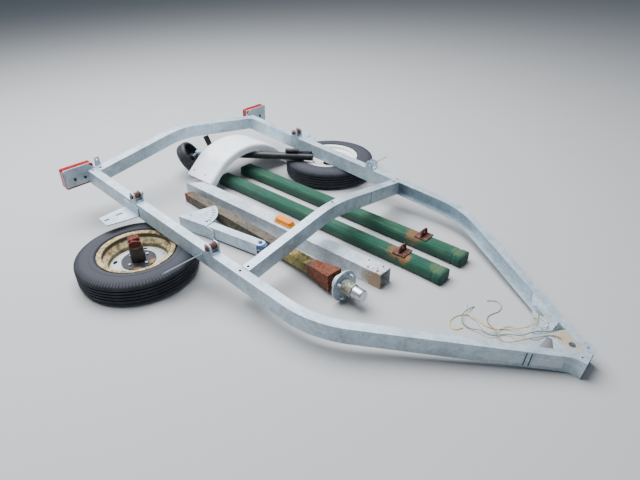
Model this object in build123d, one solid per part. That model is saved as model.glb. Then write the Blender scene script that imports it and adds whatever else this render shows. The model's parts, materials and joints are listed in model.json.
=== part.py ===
from build123d import *
from math import cos, degrees, atan2, hypot, pi, radians, sin, tan
import os

# A small single-axle boat trailer, taken apart and laid out as one pile on level ground.
# X runs from the frame's rear end to its coupling end, Y from the near to the far side, Z up.
# The galvanised frame lies upside down and nose down across the two wheels, and the loose
# pieces lie inside it. All sizes are in millimetres, all angles in degrees.

# Frame: its own plan has z = 0 at the face that is up now, and x = 0 at the rear end.
FRAME_LENGTH = 2382
FRAME_HALF_WIDTH = 567
FRAME_REAR_HEIGHT = 255.1
FRAME_NOSE_DOWN = 4.325
RAIL_DEPTH = 75
RAIL_FLANGE = 44
SHEET = 4
BEND_X = 1593
BEND_ANGLE = 34.6
BEND_RADIUS = 460
NOSE_HALF_WIDTH = 52
NOSE_RADIUS = 36
RAIL_HOLE_RADIUS = 6

CROSSMEMBER_RISE = 90
CROSSMEMBER_BEND = 600
REAR_CROSSMEMBER = (0, 50)
FRONT_CROSSMEMBER = (1172, 1214)
REAR_CROSSMEMBER_DEPTH = 68
FRONT_CROSSMEMBER_DEPTH = 74
APEX_HOLE = (1184, 14)

REAR_HANGER_X = 438
FRONT_HANGER_X = 1012
HANGER_LENGTH = 48
HANGER_HEIGHT = 46
HANGER_PIN_HEIGHT = 26
HANGER_PIN_RADIUS = 6

# Wheels: 12 inch steel rims, both lying flat. Heights are above the ground with the outer face up.
TYRE_RADIUS = 266
TYRE_WIDTH = 122
RIM_RADIUS = 170
RIM_LOW = 10
RIM_HIGH = 112
BEAD_RADIUS = 152.5
WELL_RADIUS = 135
RIM_SHEET = 3.5
DISC_SHEET = 4
DISC_EDGE_HEIGHT = 82
NEAR_DISC_HEIGHT = 70
FAR_DISC_HEIGHT = 62
BOLT_FACE_RADIUS = 74
BOLT_CIRCLE_RADIUS = 50.8
STUD_RADIUS = 6
LUG_HOLE_RADIUS = 7.5
CENTRE_BORE_RADIUS = 40
NEAR_WHEEL = (655, -705)
FAR_WHEEL = (616, 643)

# The near wheel lies outer face down, with its hub and the axle end that broke off on top.
NEAR_FLANGE_RADIUS = 76
NEAR_FLANGE_SHEET = 6
NEAR_BARREL_RADIUS = 31.5
NEAR_BARREL_TOP = 128
NEAR_LUG_TURN = 11
SPINDLE_RADIUS = 16.5
BROKEN_END_SIDE = 52
BROKEN_END_TURN = -24

# Tongue tube, bunks and the pieces lying on them.
TONGUE_SIDE = 76
TONGUE_REAR = (190, -80.6)
TONGUE_FRONT = (1557, -66.0)
TONGUE_MITRE = 78
BUNK_WIDTH = 92
BUNK_HEIGHT = 58
BUNK_LENGTH = 1524

# Axle: a square beam lying on its broken end and on its hub's flange.
AXLE_SIDE = 50
AXLE_START = (250, -152, 25.2)
AXLE_HUB = (1480, -250, 68.2)
AXLE_FLARE = (1035, 1180)
AXLE_FLARE_SIDE = 80
HUB_FLANGE_RADIUS = 68
HUB_BARREL_LENGTH = 58
HUB_STUD_LENGTH = 20
HUB_STUD_TURN = 54

# Winch post: a sector plate leaning on the axle, and its arm on the ground.
POST_CENTRE = (488, -356)
POST_RADIUS = 184
POST_ARC = (4.9, 75)
POST_APEX = (-4, -18)
POST_PIVOT = (36, 31)
POST_PIVOT_RADIUS = 6.5
POST_HEIGHT = 76
ARM_WIDTH = 46
ARM_HEIGHT = 60
ARM_START = (667, -311, 11.7)
ARM_END = (1003, -259, 11.7)
ARM_BOLT_BACK = 22

# Mudguard: a quarter-turn arch standing across the tongue tube.
FENDER_RADIUS = 370
FENDER_WIDTH = 230
FENDER_HALF_ANGLE = 58
FENDER_SHEET = 2
FENDER_LIP = 25
FENDER_X = 95
FENDER_NEAR_END = (-47.5, 81.0)
FENDER_FAR_HEIGHT = 11.5

# Jack: a tube lying from the rear end to the far wheel, with its wheel on a stub axle.
JACK_END = (613, 500, 147)
JACK_LENGTH = 719
JACK_TUBE_RADIUS = 22
JACK_LEG_RADIUS = 18.5
JACK_WHEEL_RADIUS = 101
JACK_WHEEL_WIDTH = 62
JACK_WHEEL_AXIS = (0.603, 0.578, 0.550)
JACK_WHEEL_CENTRE = (-28, 77, 101.8)
JACK_STUB_AXLE = 60

# Wires: limp trailer wiring, bare at both ends, lying by the coupling end.
WIRE_RADIUS = 1.8
WIRES = {
    "yellow_wire": [
        (2152, 86, 80), (2153, 78, 90), (2156, 64, 95), (2163, 44, 95), (2171, 22, 96), (2171, 2, 100),
        (2160, -9, 95), (2147, -7, 75), (2131, 6, 51), (2111, 19, 28), (2091, 24, 10), (2072, 16, 2),
        (2051, -3, 2), (2028, -16, 2), (2003, -19, 2), (1976, -12, 2), (1946, 0, 2), (1922, -4, 2),
        (1902, -20, 2), (1888, -46, 2), (1884, -79, 2), (1896, -106, 2), (1916, -119, 2),
        (1934, -110, 2), (1943, -84, 2),
    ],
    "white_wire": [
        (2162, 74, 80), (2165, 67, 90), (2173, 58, 94), (2187, 48, 93), (2200, 39, 93), (2207, 26, 93),
        (2203, 9, 95), (2192, -7, 99), (2178, -16, 99), (2163, -12, 87), (2147, 2, 68), (2127, 20, 46),
        (2104, 38, 25), (2081, 46, 9), (2063, 30, 5), (2055, -6, 9.5), (2046, -38, 9.5),
        (2029, -53, 9.5), (2006, -49, 9.5), (1983, -27, 5), (1962, -15, 5), (1942, -15, 9.5),
        (1919, -4, 9.5), (1897, 21, 4), (1882, 53, 2),
    ],
    "green_wire": [
        (2244, 56, 87.5), (2239, 40, 87.8), (2229, 20, 88.5), (2216, 1, 90.5), (2203, -17, 94),
        (2191, -33, 98), (2178, -42, 94), (2165, -40, 77), (2150, -32, 55), (2132, -20, 33),
        (2111, -9, 15), (2090, -9, 6), (2073, -24, 4), (2059, -47, 6), (2044, -66, 12), (2023, -72, 16.5),
        (2002, -68, 16), (1979, -72, 7), (1955, -75, 5), (1929, -66, 7), (1912, -43, 13),
        (1907, -11, 16.5), (1910, 29, 8), (1916, 58, 2),
    ],
    "brown_wire": [
        (2267, 3, 86), (2250, 5, 87.3), (2233, -6, 88.5), (2219, -26, 91), (2208, -48, 95),
        (2199, -66, 99), (2187, -76, 95), (2173, -74, 80), (2157, -64, 58), (2140, -55, 34),
        (2122, -50, 15), (2104, -56, 6), (2085, -61, 8), (2069, -54, 15), (2058, -40, 18),
        (2042, -26, 17), (2020, -12, 10), (1997, 4, 6), (1984, 36, 2), (1992, 67, 2), (2006, 95, 2),
        (2002, 129, 2), (1982, 149, 2), (1956, 145, 2), (1939, 125, 2),
    ],
}

# The origin is at the bottom centre of everything but the wires.
ORIGIN = (1126.755, -31)


def outline(rows):
    """A flat face from rows of (first, second, corner radius)."""
    corners = [(first, second) for first, second, radius in rows]
    radii = [radius for first, second, radius in rows]
    return make_face(FilletPolyline(*corners, radius=radii, close=True))


def plate(rows, low, high):
    """A plan outline as a plate from one height to another."""
    return extrude(Pos(0, 0, low) * outline(rows), amount=high - low, dir=(0, 0, 1))


def across(rows, start, end):
    """A (y, z) outline as a bar from one x to another."""
    return extrude(Pos(start, 0, 0) * (Plane.YZ * outline(rows)), amount=end - start, dir=(1, 0, 0))


def along(rows, start, end):
    """An (x, z) outline as a bar from one y to another."""
    return extrude(Pos(0, start, 0) * (Plane.XZ * outline(rows)), amount=end - start, dir=(0, 1, 0))


def block(low, high):
    """A square-edged block between two corners."""
    rows = [(low[0], low[1], 0), (high[0], low[1], 0), (high[0], high[1], 0), (low[0], high[1], 0)]
    return plate(rows, low[2], high[2])


def rod(start, end, radius):
    """A round bar between two points."""
    reach = Vector(*end) - Vector(*start)
    return Solid.make_cylinder(radius, reach.length, Plane(origin=start, z_dir=reach))


def pipe(start, end, radius, bore):
    """A round tube between two points."""
    return rod(start, end, radius) - rod(start, end, bore)


def turned(rows):
    """A solid of revolution about Z from rows of (radius, z, corner radius)."""
    return revolve(Plane.XZ * outline(rows), Axis.Z)


def hexagon(centre, radius, height, direction):
    """A nut or bolt head whose far face points along a direction."""
    plane = Plane(origin=centre, z_dir=direction)
    return extrude(plane * RegularPolygon(radius, 6), amount=height)


def ring(count, radius, shape):
    """Copies of a shape set round Z at one radius."""
    return [Rot(0, 0, 360 * index / count) * Pos(radius, 0, 0) * shape for index in range(count)]


def mirrored(shape):
    """The same piece on the far side of the frame."""
    return mirror(shape, about=Plane.XZ)


def rail_line(inset):
    """Plan corners of the near rail, this far in from its outer face: rows of (x, y, radius)."""
    slope = tan(radians(BEND_ANGLE / 2))
    run = (FRAME_HALF_WIDTH - NOSE_HALF_WIDTH) / tan(radians(BEND_ANGLE))
    return [
        (0, inset - FRAME_HALF_WIDTH, 0),
        (BEND_X - inset * slope, inset - FRAME_HALF_WIDTH, BEND_RADIUS - inset),
        (BEND_X + run + inset * slope, inset - NOSE_HALF_WIDTH, NOSE_RADIUS + inset),
        (FRAME_LENGTH, inset - NOSE_HALF_WIDTH, 0),
    ]


def rail_band(outer, inner, low, high):
    """The near rail's material between two insets and two heights."""
    return plate(rail_line(outer) + rail_line(inner)[::-1], low, high)


def side_rail():
    """A bent channel, open to the inside ahead of the front crossmember and boxed behind it."""
    rail = rail_band(0, SHEET, -RAIL_DEPTH, 0)
    rail += rail_band(0, RAIL_FLANGE, -SHEET, 0)
    rail += rail_band(0, RAIL_FLANGE, -RAIL_DEPTH, SHEET - RAIL_DEPTH)
    inner = RAIL_FLANGE - FRAME_HALF_WIDTH
    box_low = (REAR_CROSSMEMBER[0], inner - SHEET, -RAIL_DEPTH)
    rail += block(box_low, (FRONT_CROSSMEMBER[1], inner, 0))
    return rail


def crossmember(span, depth):
    """A box section that rises to a rounded point in the middle."""
    reach = FRAME_HALF_WIDTH - RAIL_FLANGE
    outer = [
        (-reach, 0, 0), (0, CROSSMEMBER_RISE, CROSSMEMBER_BEND), (reach, 0, 0),
        (reach, -depth, 0), (0, CROSSMEMBER_RISE - depth, CROSSMEMBER_BEND - depth), (-reach, -depth, 0),
    ]
    inner = [
        (-reach, -SHEET, 0), (0, CROSSMEMBER_RISE - SHEET, CROSSMEMBER_BEND - SHEET), (reach, -SHEET, 0),
        (reach, SHEET - depth, 0), (0, CROSSMEMBER_RISE + SHEET - depth, CROSSMEMBER_BEND - depth + SHEET),
        (-reach, SHEET - depth, 0),
    ]
    bar = across(outer, *span) - across(inner, span[0] + SHEET, span[1] - SHEET)
    middle = (span[0] + span[1]) / 2
    for side in (-1, 1):
        hole = (middle, side * (reach - 17))
        bar -= rod((*hole, -15), (*hole, 15), RAIL_HOLE_RADIUS)
    return bar


def hanger(x):
    """A spring hanger on the near rail: a base with two round-topped ears."""
    middle = RAIL_FLANGE / 2 - FRAME_HALF_WIDTH
    half = HANGER_LENGTH / 2
    ear = [(x - half, 0, 0), (x + half, 0, 0), (x + half, HANGER_HEIGHT, 20), (x - half, HANGER_HEIGHT, 20)]
    bracket = block((x - half, middle - 22, 0), (x + half, middle + 22, 5))
    for low in (middle - 22, middle + 17):
        bracket += along(ear, low, low + 5)
    pin = (middle - 30, middle + 30)
    bore = HANGER_PIN_RADIUS + 0.3
    bracket -= rod((x, pin[0], HANGER_PIN_HEIGHT), (x, pin[1], HANGER_PIN_HEIGHT), bore)
    return bracket


def hanger_bolt(x):
    """The spring bolt left in a hanger, with its rusted bush, head and nut."""
    middle = RAIL_FLANGE / 2 - FRAME_HALF_WIDTH
    z = HANGER_PIN_HEIGHT
    bolt = rod((x, middle - 22, z), (x, middle + 28, z), HANGER_PIN_RADIUS)
    bolt += rod((x, middle - 16.5, z), (x, middle + 16.5, z), 15)
    bolt += hexagon((x, middle - 22, z), 11, 8, (0, -1, 0))
    bolt += hexagon((x, middle + 22, z), 11, 10, (0, 1, 0))
    return bolt


def rear_fender_bracket():
    """A slotted plate flat against the rail's outer face, near its lower edge."""
    rows = [(353, -567, 0), (478, -567, 0), (446, -719, 8), (366, -714, 8)]
    bracket = plate(rows, -66, -61)
    # x, y, slot length
    for x, y, length in ((398, -628, 37), (405, -696, 27)):
        slot = Rot(0, 0, 90) * SlotOverall(length, 12)
        bracket -= extrude(Pos(x, y, -70) * slot, amount=15)
    return bracket + along([(353, -66, 0), (478, -66, 0), (478, -20, 6), (353, -20, 6)], -572, -567)


def front_fender_bracket():
    """An angle standing out from the rail's outer face, its flat leg at the bottom."""
    arm = [(-754, -50, 0), (-567, -50, 0), (-567, -8, 0), (-754, -8, 6)]
    bracket = across(arm, 970, 975) + block((940, -750, -50), (970, -567, -45))
    for y in (-715, -650):
        bracket -= rod((955, y, -60), (955, y, -40), 6)
    return bracket


def light_bracket():
    """The plate across the rail's rear end that carries a tail light."""
    rows = [(-688, -64, 4), (-523, -64, 0), (-523, 0, 0), (-560, 35, 10), (-688, 35, 10)]
    bracket = across(rows, -SHEET, 0)
    for y, z in ((-639, -28), (-586, -33)):
        bracket -= rod((-10, y, z), (10, y, z), 4)
    return bracket


def tail_light():
    """A box lamp bolted to the rear of its bracket, with two studs through it."""
    rows = [(-690, -74, 10), (-531, -74, 10), (-531, 31, 10), (-690, 31, 10)]
    lamp = across(rows, -45, -SHEET)
    for y, z in ((-639, -28), (-586, -33)):
        lamp += rod((-SHEET, y, z), (8, y, z), 3.5)
        lamp += hexagon((0, y, z), 8, 5, (1, 0, 0))
    return lamp


def wiring_tab():
    """A small upright tab on the rear crossmember."""
    rows = [(-522, 4, 0), (-490, 9, 0), (-494, 56, 8), (-518, 56, 8)]
    return across(rows, 0, 3) - rod((-5, -506, 42), (5, -506, 42), 6)


def mounting_plate():
    """The plate between the converging rails, where the tongue was bolted on."""
    near_half = [(2198, -112, 0), (2184, -30, 0), (2177, -15, 0), (2380, -15, 0), (2380, -30, 0), (2340, -30, 0)]
    far_half = [(2177, -15, 0), (2118, 119, 4), (2091, 190, 0), (2340, 30, 0), (2380, 30, 0), (2380, -15, 0)]
    sheet = plate(near_half, -SHEET, 0) + plate(far_half, -SHEET - 2, -2)
    rail_strip = rail_band(0, RAIL_FLANGE, -20, 20)
    sheet = sheet - rail_strip - mirrored(rail_strip)
    pockets = (
        [(2230, -90, 0), (2272, -62, 0), (2251, -19, 3), (2233, -23, 3)],
        [(2232, 23, 3), (2268, 64, 0), (2234, 86, 0)],
    )
    for rows in pockets:
        sheet -= plate(rows, -20, 10)
    # x, y, length, width, turn
    for x, y, length, width, turn in ((2155, 86, 62, 21, -37), (2172, 29, 34, 17, -45)):
        sheet -= extrude(Pos(x, y, -20) * Rot(0, 0, turn) * SlotOverall(length, width), amount=30)
    for x, y, radius in ((2208, 50, 4), (2205, 4, 4), (2312, 6, 13)):
        sheet -= rod((x, y, -20), (x, y, 10), radius)
    return sheet


def tyre():
    """A tyre lying flat, its upper sidewall pressed in a little by the frame."""
    # radius, height, corner radius: from the lower bead round the tread to the upper bead
    return turned([
        (BEAD_RADIUS + 0.3, RIM_LOW + 9, 0), (RIM_RADIUS + 4, RIM_LOW + 6.5, 2), (182, 0, 10), (226, 0, 40),
        (TYRE_RADIUS - 4, 18, 10), (TYRE_RADIUS, 27, 14), (TYRE_RADIUS, 95, 14), (TYRE_RADIUS - 4, 104, 10),
        (226, 116.3, 40), (183, 119.8, 9), (RIM_RADIUS + 4, RIM_HIGH - 6.5, 2), (BEAD_RADIUS + 0.3, RIM_HIGH - 9, 0),
    ])


def rim(disc_height, lug_turn, windows):
    """A drop-centre steel rim with its pressed disc, outer face up."""
    bead = BEAD_RADIUS - RIM_SHEET
    well = WELL_RADIUS - RIM_SHEET
    # radius, height, corner radius: up the outside, then down the inside
    shell = turned([
        (RIM_RADIUS, RIM_LOW, 0), (RIM_RADIUS, RIM_LOW + RIM_SHEET, 0), (BEAD_RADIUS, 16, 3),
        (BEAD_RADIUS, 38, 5), (WELL_RADIUS, 61, 5), (WELL_RADIUS, 84, 5), (BEAD_RADIUS, 92, 5),
        (BEAD_RADIUS, 106, 3), (RIM_RADIUS, RIM_HIGH - RIM_SHEET, 0), (RIM_RADIUS, RIM_HIGH, 0),
        (bead, 110, 4), (bead, 94.2, 4), (well, 86.2, 4), (well, 59.8, 4), (bead, 36.8, 4), (bead, 12, 4),
    ])
    foot = disc_height - DISC_SHEET
    edge = well + 0.5
    disc = turned([
        (CENTRE_BORE_RADIUS, foot, 0), (BOLT_FACE_RADIUS, foot, 10), (edge, DISC_EDGE_HEIGHT - DISC_SHEET, 0),
        (edge, DISC_EDGE_HEIGHT, 0), (BOLT_FACE_RADIUS, disc_height, 10), (CENTRE_BORE_RADIUS, disc_height, 0),
    ])
    count, radius, length, width, turn = windows
    window = extrude(Pos(0, 0, foot - 10) * Rot(0, 0, 90) * SlotOverall(length, width), amount=60)
    for hole in ring(count, radius, window):
        disc -= Rot(0, 0, turn) * hole
    lug_hole = Pos(0, 0, foot - 10) * Solid.make_cylinder(LUG_HOLE_RADIUS, 30)
    for hole in ring(4, BOLT_CIRCLE_RADIUS, lug_hole):
        disc -= Rot(0, 0, lug_turn) * hole
    return shell + disc


def wheel_hub():
    """The near wheel's hub, still bolted to its disc, with the inner side up."""
    seat = TYRE_WIDTH - NEAR_DISC_HEIGHT + DISC_SHEET
    hub = Pos(0, 0, seat) * Solid.make_cylinder(NEAR_FLANGE_RADIUS, NEAR_FLANGE_SHEET)
    hub += Pos(0, 0, 22) * Solid.make_cylinder(33, seat - 20)
    hub += Pos(0, 0, 6) * Solid.make_cylinder(26, 18)
    hub += Pos(0, 0, seat) * Solid.make_cylinder(NEAR_BARREL_RADIUS, NEAR_BARREL_TOP - seat)
    hub -= Pos(0, 0, 30) * Solid.make_cylinder(SPINDLE_RADIUS + 0.5, NEAR_BARREL_TOP)
    stud = Pos(0, 0, seat - 24) * Solid.make_cylinder(STUD_RADIUS, 24 + NEAR_FLANGE_SHEET + 3)
    nut = Pos(0, 0, seat - DISC_SHEET - 14) * extrude(RegularPolygon(11, 6), amount=14)
    for piece in ring(4, BOLT_CIRCLE_RADIUS, stud) + ring(4, BOLT_CIRCLE_RADIUS, nut):
        hub += Rot(0, 0, NEAR_LUG_TURN) * piece
    return hub


def spindle_stub():
    """The spindle in the near hub and the end of the axle that broke off with it."""
    stub = Pos(0, 0, 36) * Solid.make_cylinder(SPINDLE_RADIUS, NEAR_BARREL_TOP - 26)
    stub += Pos(0, 0, NEAR_BARREL_TOP + 0.6) * Solid.make_cylinder(29, 11.4)
    # x, y, foot height, size along the two sides, height, tilt about the two sides
    lumps = (
        (0, 0, 10, BROKEN_END_SIDE, BROKEN_END_SIDE, 28, 0, 0),
        (-5, 3, 28, 40, 44, 20, 5, -6),
        (11, -10, 30, 22, 26, 14, -7, 8),
    )
    for x, y, foot, wide, deep, tall, tip, lean in lumps:
        lump = Box(wide, deep, tall, align=(Align.CENTER, Align.CENTER, Align.MIN))
        stub += Pos(x, y, NEAR_BARREL_TOP + foot) * Rot(tip, lean, BROKEN_END_TURN) * lump
    return stub


def lying(start, end):
    """The pose that takes +X along the line between two points, with Z kept upright."""
    reach = Vector(*end) - Vector(*start)
    yaw = degrees(atan2(reach.Y, reach.X))
    pitch = degrees(atan2(reach.Z, hypot(reach.X, reach.Y)))
    return Pos(*start) * Rot(0, 0, yaw) * Rot(0, -pitch, 0)


def tongue_tube(length):
    """A square tube with a mitred rear end and bolt holes at the front end."""
    half = TONGUE_SIDE / 2
    bore = half - SHEET
    plan = [(0, -half, 0), (length, -half, 0), (length, half, 0), (TONGUE_MITRE, half, 0)]
    tube = plate(plan, 0, TONGUE_SIDE)
    tube -= block((-5, -bore, SHEET), (length + 5, bore, TONGUE_SIDE - SHEET))
    # distance from the front end, side
    for back, side in ((103, 21), (76, -23), (27, 21), (27, -21)):
        tube -= rod((length - back, side, TONGUE_SIDE - 10), (length - back, side, TONGUE_SIDE + 10), 5.5)
    return tube


def marker_light():
    """The amber side lamp lying on the tongue tube."""
    lamp = plate([(890, -92, 8), (1005, -92, 8), (1005, -46, 8), (890, -46, 8)], TONGUE_SIDE, TONGUE_SIDE + 8)
    return lamp + plate([(897, -88, 8), (998, -88, 8), (998, -50, 8), (897, -50, 8)], TONGUE_SIDE + 8, TONGUE_SIDE + 25)


def bunk(y):
    """A carpeted bunk board."""
    rows = [(y, 0, 12), (y + BUNK_WIDTH, 0, 12), (y + BUNK_WIDTH, BUNK_HEIGHT, 16), (y, BUNK_HEIGHT, 16)]
    return across(rows, 220, 220 + BUNK_LENGTH)


def bunk_bracket(x, y):
    """A rusted angle bracket bolted to a bunk, its ear up."""
    low = BUNK_HEIGHT + 0.3
    bracket = block((x, y, low), (x + 66, y + 72, low + 5))
    ear = across([(y + 4, low, 0), (y + 68, low, 0), (y + 60, low + 42, 18), (y + 12, low + 42, 18)], x + 30, x + 35)
    ear -= rod((x, y + 36, low + 26), (x + 60, y + 36, low + 26), 7)
    return bracket + ear


def axle_beam(length):
    """The square axle, broken off at the rear end, with a flare and the spindle at the front."""
    half = AXLE_SIDE / 2
    start, end = AXLE_FLARE
    rows = [(5, -half, 0), (end, -half, 0), (end, half, 0), (24, half, 0), (10, 4, 0)]
    beam = Pos(0, 0, -half) * plate(rows, 0, AXLE_SIDE)
    narrow = Pos(start, 0, 0) * (Plane.YZ * Rectangle(AXLE_SIDE + 2, AXLE_SIDE + 2))
    wide = Pos(end, 0, 0) * (Plane.YZ * Rectangle(AXLE_FLARE_SIDE, AXLE_FLARE_SIDE))
    beam += loft([narrow, wide])
    spindle = Pos(end - 5, 0, 0) * Rot(0, 90, 0) * Solid.make_cylinder(SPINDLE_RADIUS - 0.5, length - end + 45)
    return beam + spindle


def hub_with_flange(length):
    """The hub on the axle's sound end: flange, four studs and bearing barrel."""
    hub = Pos(0, 0, -4) * Solid.make_cylinder(HUB_FLANGE_RADIUS, 8)
    hub += Pos(0, 0, -36) * Solid.make_cylinder(36, 34)
    hub += Solid.make_cone(35, 29, HUB_BARREL_LENGTH)
    hub -= Pos(0, 0, -60) * Solid.make_cylinder(SPINDLE_RADIUS, 106)
    for stud in ring(4, BOLT_CIRCLE_RADIUS, Solid.make_cylinder(STUD_RADIUS, HUB_STUD_LENGTH + 4)):
        hub += Rot(0, 0, HUB_STUD_TURN) * stud
    return Pos(length, 0, 0) * Rot(0, 90, 0) * hub


def grease_cap(length):
    """The cap pressed on the outer end of the hub, with a groove round its foot."""
    foot = HUB_BARREL_LENGTH
    rows = [(0, foot, 0), (24, foot, 0), (24, foot + 4, 0), (27, foot + 4, 2), (26, 104, 4), (23, 110, 2), (0, 110, 0)]
    return Pos(length, 0, 0) * Rot(0, 90, 0) * turned(rows)


def post_head():
    """The winch post's sector plate, with a wall under its lower edge and one parallel to it."""
    first, last = POST_ARC
    start = (POST_RADIUS * cos(radians(first)), POST_RADIUS * sin(radians(first)))
    end = (POST_RADIUS * cos(radians(last)), POST_RADIUS * sin(radians(last)))
    edge = Polyline(end, POST_APEX, start)
    sector = make_face(edge + RadiusArc(start, end, -POST_RADIUS))
    sector = fillet(sector.vertices(), 9)
    head = extrude(Pos(0, 0, POST_HEIGHT - SHEET) * sector, amount=SHEET)
    head -= rod((*POST_PIVOT, 0), (*POST_PIVOT, 100), POST_PIVOT_RADIUS)
    head -= Rot(0, 0, 17) * Pos(156, 0, 0) * Solid.make_cylinder(7, 100)
    for turn in (23, 32, 41, 50, 59):
        head -= extrude(Rot(0, 0, turn) * Pos(163, 0, 0) * SlotOverall(20, 8), amount=100)
    near_wall = [(4, 8, 10), (234, 8, 0), (234, 58, 6), (188, POST_HEIGHT, 0), (4, POST_HEIGHT, 0)]
    far_wall = [(46, 8, 6), (168, 8, 6), (168, POST_HEIGHT - 1, 0), (46, POST_HEIGHT - 1, 0)]
    edge_turn = degrees(atan2(start[1] - POST_APEX[1], start[0] - POST_APEX[0]))
    walls = along(near_wall, 0, SHEET) + along(far_wall, 80, 80 + SHEET)
    return head + Pos(*POST_APEX, 0) * Rot(0, 0, edge_turn) * walls


def post_arm(length):
    """The winch post's channel arm, open side down, with a rounded end past its side walls."""
    half = ARM_WIDTH / 2
    plan = [(0, -half, 4), (length, -half, 22), (length, half, 22), (0, half, 4)]
    arm = plate(plan, ARM_HEIGHT - SHEET, ARM_HEIGHT)
    arm += block((4, -half, 0), (length - 30, SHEET - half, ARM_HEIGHT))
    arm += block((4, half - SHEET, 0), (length - 30, half, ARM_HEIGHT))
    bolt = length - ARM_BOLT_BACK
    return arm - rod((bolt, 0, 0), (bolt, 0, 80), 6)


def arm_clevis(length):
    """The painted strap bolted under the arm's top, its rounded end past the arm's."""
    top = ARM_HEIGHT - SHEET - 0.3
    half = ARM_WIDTH / 2 - SHEET - 0.5
    low = ARM_HEIGHT / 2
    plan = [(length - 60, -half, 0), (length + 14, -half, 16), (length + 14, half, 16), (length - 60, half, 0)]
    strap = plate(plan, top - 7, top)
    strap += block((length - 60, -half, low), (length - 8, SHEET - half, top))
    strap += block((length - 60, half - SHEET, low), (length - 8, half, top))
    bolt = length - ARM_BOLT_BACK
    strap += rod((bolt, 0, top - 12), (bolt, 0, ARM_HEIGHT + 2), 5.5)
    return strap + hexagon((bolt, 0, ARM_HEIGHT + 0.3), 10, 7, (0, 0, 1))


def arch_band(outer, inner, width):
    """Part of the fender: a sector between two radii, this wide along X."""
    half = radians(FENDER_HALF_ANGLE)
    ends = [(radius * sin(half), radius * cos(half)) for radius in (outer, inner)]
    (wide, high), (narrow, low) = ends
    crown = ThreePointArc((-wide, high), (0, outer), (wide, high))
    under = ThreePointArc((narrow, low), (0, inner), (-narrow, low))
    sides = Line((wide, high), (narrow, low)) + Line((-narrow, low), (-wide, high))
    return extrude(Plane.YZ * make_face(crown + under + sides), amount=width, dir=(1, 0, 0))


def fender():
    """A mudguard: an arch of sheet with turned-down side edges and two bolt holes at one end."""
    sheet = arch_band(FENDER_RADIUS, FENDER_RADIUS - FENDER_SHEET, FENDER_WIDTH)
    lip = arch_band(FENDER_RADIUS, FENDER_RADIUS - FENDER_LIP, FENDER_SHEET)
    sheet += lip + Pos(FENDER_WIDTH - FENDER_SHEET, 0, 0) * lip
    for x in (44, 152):
        turn = FENDER_HALF_ANGLE - 5.5
        hole = Pos(x, 0, 0) * Rot(turn, 0, 0) * Pos(0, 0, FENDER_RADIUS - 10)
        sheet -= hole * Solid.make_cylinder(6, 20)
    return sheet


def fender_pose():
    """Stands the arch with its near end on the tongue tube and its far end on the ground."""
    half = radians(FENDER_HALF_ANGLE)
    near_y, near_z = FENDER_NEAR_END
    chord = 2 * FENDER_RADIUS * sin(half)
    lean = degrees(atan2(near_z - FENDER_FAR_HEIGHT, chord))
    drop = FENDER_RADIUS * cos(half)
    reach = chord / 2
    turned_y = reach * cos(radians(lean)) - drop * sin(radians(lean))
    turned_z = -reach * sin(radians(lean)) - drop * cos(radians(lean))
    return Pos(FENDER_X, near_y + turned_y, near_z + turned_z) * Rot(-lean, 0, 0)


def jack_point(distance, up=0):
    """A point above the jack tube's axis, this far from the knee where the stub axle meets it."""
    knee = Vector(*JACK_WHEEL_CENTRE) + Vector(*JACK_WHEEL_AXIS).normalized() * JACK_STUB_AXLE
    reach = (Vector(*JACK_END) - knee).normalized()
    point = knee + reach * distance + Vector(0, 0, up)
    return (point.X, point.Y, point.Z)


def jack_tube():
    """The jack's outer tube with its closed upper end."""
    tube = pipe(jack_point(60), jack_point(JACK_LENGTH), JACK_TUBE_RADIUS, JACK_LEG_RADIUS + 0.5)
    return tube + rod(jack_point(JACK_LENGTH - 6), jack_point(JACK_LENGTH), JACK_TUBE_RADIUS)


def jack_leg():
    """The sliding inner tube with the stub axle that carries the wheel."""
    leg = rod(jack_point(0), jack_point(330), JACK_LEG_RADIUS)
    leg += Pos(*jack_point(0)) * Sphere(JACK_LEG_RADIUS)
    axis = Vector(*JACK_WHEEL_AXIS).normalized()
    centre = Vector(*JACK_WHEEL_CENTRE)
    outer = centre - axis * (JACK_WHEEL_WIDTH / 2 + 6)
    leg += rod((outer.X, outer.Y, outer.Z), jack_point(0), 8)
    return leg


def jack_wheel():
    """A hollow-sided wheel with a hub, its open side towards the jack."""
    half = JACK_WHEEL_WIDTH / 2
    tread = JACK_WHEEL_RADIUS
    wheel = turned([
        (8.5, -half, 0), (tread - 6, -half, 6), (tread, -half + 14, 12), (tread, half - 14, 12),
        (tread - 6, half, 5), (tread - 18, half, 3), (tread - 20, -half + 14, 6),
        (22, -half + 14, 4), (20, half - 8, 2), (8.5, half - 8, 0),
    ])
    return Plane(origin=JACK_WHEEL_CENTRE, z_dir=JACK_WHEEL_AXIS).location * wheel


def jack_crank():
    """The crank folded back along the jack tube, with its grip."""
    arm = rod(jack_point(JACK_LENGTH - 12, 22.2), jack_point(JACK_LENGTH - 12, 34), 7)
    arm += rod(jack_point(JACK_LENGTH - 5, 32), jack_point(JACK_LENGTH - 95, 32), 6)
    return arm + rod(jack_point(JACK_LENGTH - 90, 36), jack_point(JACK_LENGTH - 165, 36), 13)


def jack_bracket():
    """The flat bar of the jack's clamp, standing up from the tube to the rear crossmember."""
    foot = Vector(*jack_point(92, JACK_TUBE_RADIUS + 1.8))
    top = Vector(42, 158, 238)
    reach = top - foot
    plane = Plane(origin=foot, x_dir=(0, 1, 0), z_dir=reach)
    bar = extrude(plane * Rectangle(34, 6), amount=reach.length)
    clamp = pipe(jack_point(70), jack_point(114), JACK_TUBE_RADIUS + 4, JACK_TUBE_RADIUS + 0.2)
    return bar + clamp


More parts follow.
